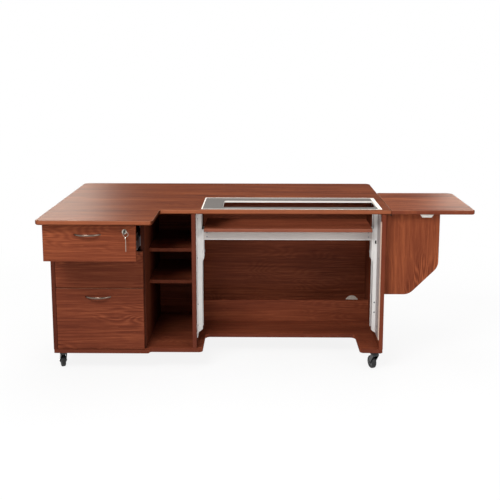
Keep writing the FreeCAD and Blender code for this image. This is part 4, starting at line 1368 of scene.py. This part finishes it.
@dataclass
class CasterSet:
    """Four swivel casters: plates, forks with their bearing rings, and wheels with rounded treads.

    seat and cheek hold radii with how far they lie in from the wheel's side, groove holds depths
    with their places along the axle, and nut and seal hold radii with heights.
    """

    shop: Workshop
    radius: float = 30.0 * MM
    width: float = 22.0 * MM
    crown: float = 2.4 * MM
    soft: float = 6.4 * MM
    soft_steps: int = 6
    seat: tuple[Pair, ...] = ((19.0 * MM, 1.2 * MM), (20.5 * MM, 0.2 * MM))
    groove: tuple[Pair, ...] = ((0.0, 4.2 * MM), (1.2 * MM, 3.9 * MM), (1.2 * MM, 3.1 * MM), (0.0, 2.8 * MM))
    tyre_turns: int = 64
    cheek: tuple[Pair, ...] = ((3.06 * MM, 0.0), (6.2 * MM, 0.0), (7.2 * MM, 0.8 * MM), (8.5 * MM, 3.0 * MM),
                               (16.0 * MM, 3.0 * MM), (18.2 * MM, 2.2 * MM), (19.2 * MM, 1.0 * MM))
    hub_turns: int = 48
    nut: tuple[Pair, ...] = ((4.8 * MM, -0.2 * MM), (4.8 * MM, 2.2 * MM), (3.9 * MM, 2.9 * MM),
                             (0.0, 2.9 * MM))
    nut_sides: int = 6
    ear: float = 15.0 * MM
    bolt: ScrewHead = ScrewHead(3.2 * MM, 1.6 * MM)
    pitch: float = 20.5 * MM
    plate: float = 3.0 * MM
    seal: tuple[Pair, ...] = ((18.9 * MM, -2.0 * MM), (20.2 * MM, -1.3 * MM), (20.2 * MM, 1.3 * MM),
                              (18.9 * MM, 2.0 * MM))
    seal_turns: int = 48
    seal_drop: float = 4.5 * MM

    def build(self) -> None:
        """Dress plates and forks, bolt them up, and replace each wheel by a tyred one."""
        # The plates' black finish is painted shade under the cabinet.
        self.shop.dress(BLACK_ZINC_AND_SHADE, "caster_plates")
        for corner in Corner:
            self.shop.dress(CASTER_BLACK, f"caster_fork_{corner.value}")
            self.wheel(corner)
            self.axle_nut(corner)
        self.plate_fittings()

    def wheel(self, corner: Corner) -> None:
        """Turn a tyre and a hub about the axle.

        The tyre's profile is a crowned tread between two rounded shoulders, with two grooves; the
        hub's is dished, with a boss round the axle.

        Args:
            corner: Which caster.
        """
        spin = self.shop.joint(f"{corner.wheel}_spin")
        half = self.width / 2
        turn = np.linspace(0, math.pi / 2, self.soft_steps)
        seat = (0, half) + np.multiply(self.seat, (1, -1))
        shoulder = np.stack((self.radius - (self.crown + self.soft) * (1 - np.sin(turn)),
                             half - self.soft * (1 - np.cos(turn))), -1)
        grooves = (self.radius, 0) + np.multiply(self.groove, (-1, 1))
        tread = lathe(mirrored(np.concatenate((seat, shoulder, grooves))), self.tyre_turns)
        disc = lathe(mirrored((0, half) + np.multiply(self.cheek, (1, -1))), self.hub_turns)
        tyre, hub = (scatter(shape, [spin["pos_m"]], spin["axis"]) for shape in (tread, disc))
        self.shop.fit(f"caster_tyre_{corner.value}", tyre, TREAD, corner.wheel, "caster_tread",
                      (f"caster_wheel_{corner.value}",))
        self.shop.fit(f"caster_hub_{corner.value}", hub, HUB_GREY, corner.wheel, "caster_black")

    def axle_nut(self, corner: Corner) -> None:
        """Put a six-sided nut on the free end of the axle.

        Args:
            corner: Which caster.
        """
        spin = self.shop.joint(f"{corner.wheel}_spin")
        axis = np.asarray(spin["axis"], float)
        axis = axis * math.copysign(1.0, axis[0])
        place = np.asarray(spin["pos_m"], float) + axis * self.ear
        nut = lathe(np.array(self.nut), self.nut_sides)
        self.shop.fit(f"axle_nut_{corner.value}", scatter(nut, [place], axis), ZINC, corner.swivel,
                      "zinc_steel")

    def plate_fittings(self) -> None:
        """Bolt every plate at its corners, and put a dust ring round its race."""
        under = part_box("caster_plates")[1].z - self.plate
        centres = [self.shop.joint(f"{corner.swivel}_turn")["pos_m"] for corner in Corner]
        bolts = [(x + a * self.pitch, y + b * self.pitch, under) for x, y, _ in centres
                 for a in (-1, 1) for b in (-1, 1)]
        self.shop.fit("caster_bolts", scatter(self.bolt.mesh(), bolts, (0, 0, -1)), ZINC, "cabinet",
                      "zinc_steel")
        rings = [(x, y, under - self.seal_drop) for x, y, _ in centres]
        seal = lathe(closed(np.array(self.seal)), self.seal_turns)
        self.shop.fit("caster_dust_rings", scatter(seal, rings, (0, 0, 1)), CASTER_BLACK, "cabinet",
                      "caster_black")


# Studio

WHITE: Rgb = (1.0, 1.0, 1.0)
WARM: Rgb = (1.0, 0.91, 0.8)


@dataclass(frozen=True)
class Lamp:
    """A soft panel of light: where it hangs, where it points, its width and height, and its power.

    A lamp for sheen only shows in coats and metal and leaves matt colours alone.
    """

    name: str
    place: Point
    target: Point
    size: Pair
    watts: float
    tint: Rgb = WHITE
    sheen_only: bool = False


@dataclass
class Studio:
    """Plain soft light, a pale floor and the camera at the photograph's place."""

    eye: Point = (-0.0021, -3.8806, 1.4578)
    down: float = 0.163377
    left: float = 0.014142
    sensor: float = 36.0
    lens: float = 59.127
    shift: Pair = (0.0007, -0.1231)
    ambient: float = 0.34
    floor_reach: float = 30.0
    floor_tone: Rgb = (0.92, 0.92, 0.92)
    floor_glow: float = 0.87
    floor_width_share: float = 0.5
    floor_fade: Pair = (0.8, 6.0)
    lamps: tuple[Lamp, ...] = (
        Lamp("key", (-1.6, -3.4, 3.6), (-0.1, 0.0, 0.45), (2.2, 1.4), 142.0),
        Lamp("fill", (2.8, -3.2, 2.0), (0.2, 0.0, 0.4), (2.0, 1.6), 45.0),
        Lamp("overhead", (0.0, 0.0, 3.6), (0.0, 0.0, 0.7), (2.6, 2.0), 40.0),
        Lamp("rear", (0.4, 3.6, 2.9), (0.0, 0.5, 0.4), (2.4, 1.4), 62.0),
        Lamp("left_glow", (-2.0, 3.1, 1.8), (-0.9, -0.45, 0.76), (1.2, 0.5), 290.0, WARM, True),
        Lamp("right_glow", (1.9, 3.1, 1.4), (0.95, -0.1, 0.76), (0.7, 0.35), 118.0, WARM, True),
    )

    def build(self) -> None:
        """Set the world, floor, lamps and camera."""
        self.world()
        self.floor()
        for lamp in self.lamps:
            self.hang(lamp)
        self.camera()

    def world(self) -> None:
        """A white surround to look at, and a softer one to be lit by."""
        world = bpy.data.worlds.new("studio")
        world.use_nodes = True
        bpy.context.scene.world = world
        graph = Graph(world.node_tree)
        surround = graph.tree.nodes["Background"]
        graph.plug(surround.inputs["Color"], (*WHITE, 1.0))
        graph.plug(surround.inputs["Strength"], graph.seen() * (1.0 - self.ambient) + self.ambient)

    def floor(self) -> None:
        """A pale floor that keeps the shadow near the cabinet and is plain white far from it.

        Its own glow grows with y squared plus a share of x squared.
        """
        reach = self.floor_reach
        mesh = bpy.data.meshes.new("floor")
        mesh.from_pydata([(-reach, -reach, 0), (reach, -reach, 0), (reach, reach, 0), (-reach, reach, 0)],
                         [], [(0, 1, 2, 3)])
        floor = bpy.data.objects.new("floor", mesh)
        bpy.context.scene.collection.objects.link(floor)
        recipe = Recipe("studio_floor")
        x, y, _ = recipe.split("Object")
        far = (x * x * self.floor_width_share + y * y).rise(*self.floor_fade)
        share = recipe.seen() * (self.floor_glow + far * (1.0 - self.floor_glow))
        recipe.finish(Base_Color=(*self.floor_tone, 1.0), Roughness=1.0, Specular_IOR_Level=0.0)
        glow = recipe.add("Emission", inputs={"Color": (*WHITE, 1.0), "Strength": 1.0})
        plain = Sock(recipe, recipe.surface.outputs["BSDF"])
        blend = recipe.add("MixShader", inputs={0: share, 1: plain, 2: glow})
        recipe.plug(recipe.tree.nodes["Material Output"].inputs["Surface"], blend)
        mesh.materials.append(recipe.material)
        floor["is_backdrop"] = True

    def hang(self, lamp: Lamp) -> None:
        """Hang one soft panel of light.

        Args:
            lamp: Its place, aim, size and power.
        """
        light = bpy.data.lights.new(lamp.name, "AREA")
        light.shape = "RECTANGLE"
        light.size, light.size_y = lamp.size
        light.energy = lamp.watts
        light.color = lamp.tint
        panel = bpy.data.objects.new(lamp.name, light)
        turned = frame_of(np.subtract(lamp.place, lamp.target)).T
        rows = [(*parts, place) for parts, place in zip(turned.tolist(), lamp.place)]
        panel.matrix_world = Matrix((*rows, (0, 0, 0, 1)))
        panel.visible_camera = False
        panel.visible_diffuse = not lamp.sheen_only
        bpy.context.scene.collection.objects.link(panel)

    def camera(self) -> None:
        """Stand the camera where the photograph was taken from."""
        data = bpy.data.cameras.new("camera")
        data.sensor_width = self.sensor
        data.lens = self.lens
        data.shift_x, data.shift_y = self.shift
        camera = bpy.data.objects.new("camera", data)
        camera.location = self.eye
        camera.rotation_euler = (math.pi / 2 - self.down, 0.0, self.left)
        bpy.context.scene.collection.objects.link(camera)
        bpy.context.scene.camera = camera


def write_sizes(cad_box: tuple, visual_box: tuple) -> None:
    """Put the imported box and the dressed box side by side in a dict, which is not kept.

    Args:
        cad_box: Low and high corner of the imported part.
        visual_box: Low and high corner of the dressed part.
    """
    ({"cad": [list(corner) for corner in cad_box],
               "visual": [list(corner) for corner in visual_box]})


def main() -> None:
    """Build the sub-assemblies in order, then the studio."""
    logging.basicConfig(level=logging.INFO, format="%(name)s: %(message)s")
    bpy.context.scene.view_settings.view_transform = "Standard"
    for leftover in list(bpy.data.objects):
        bpy.data.objects.remove(leftover)
    shop = Workshop()
    for kind in (Worktop, Carcass, DrawerBank, LiftFrame, GateLeg, CasterSet):
        kind(shop).build()
    Studio().build()
    write_sizes(shop.cad_box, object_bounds())


if __name__ == "__main__":
    main()
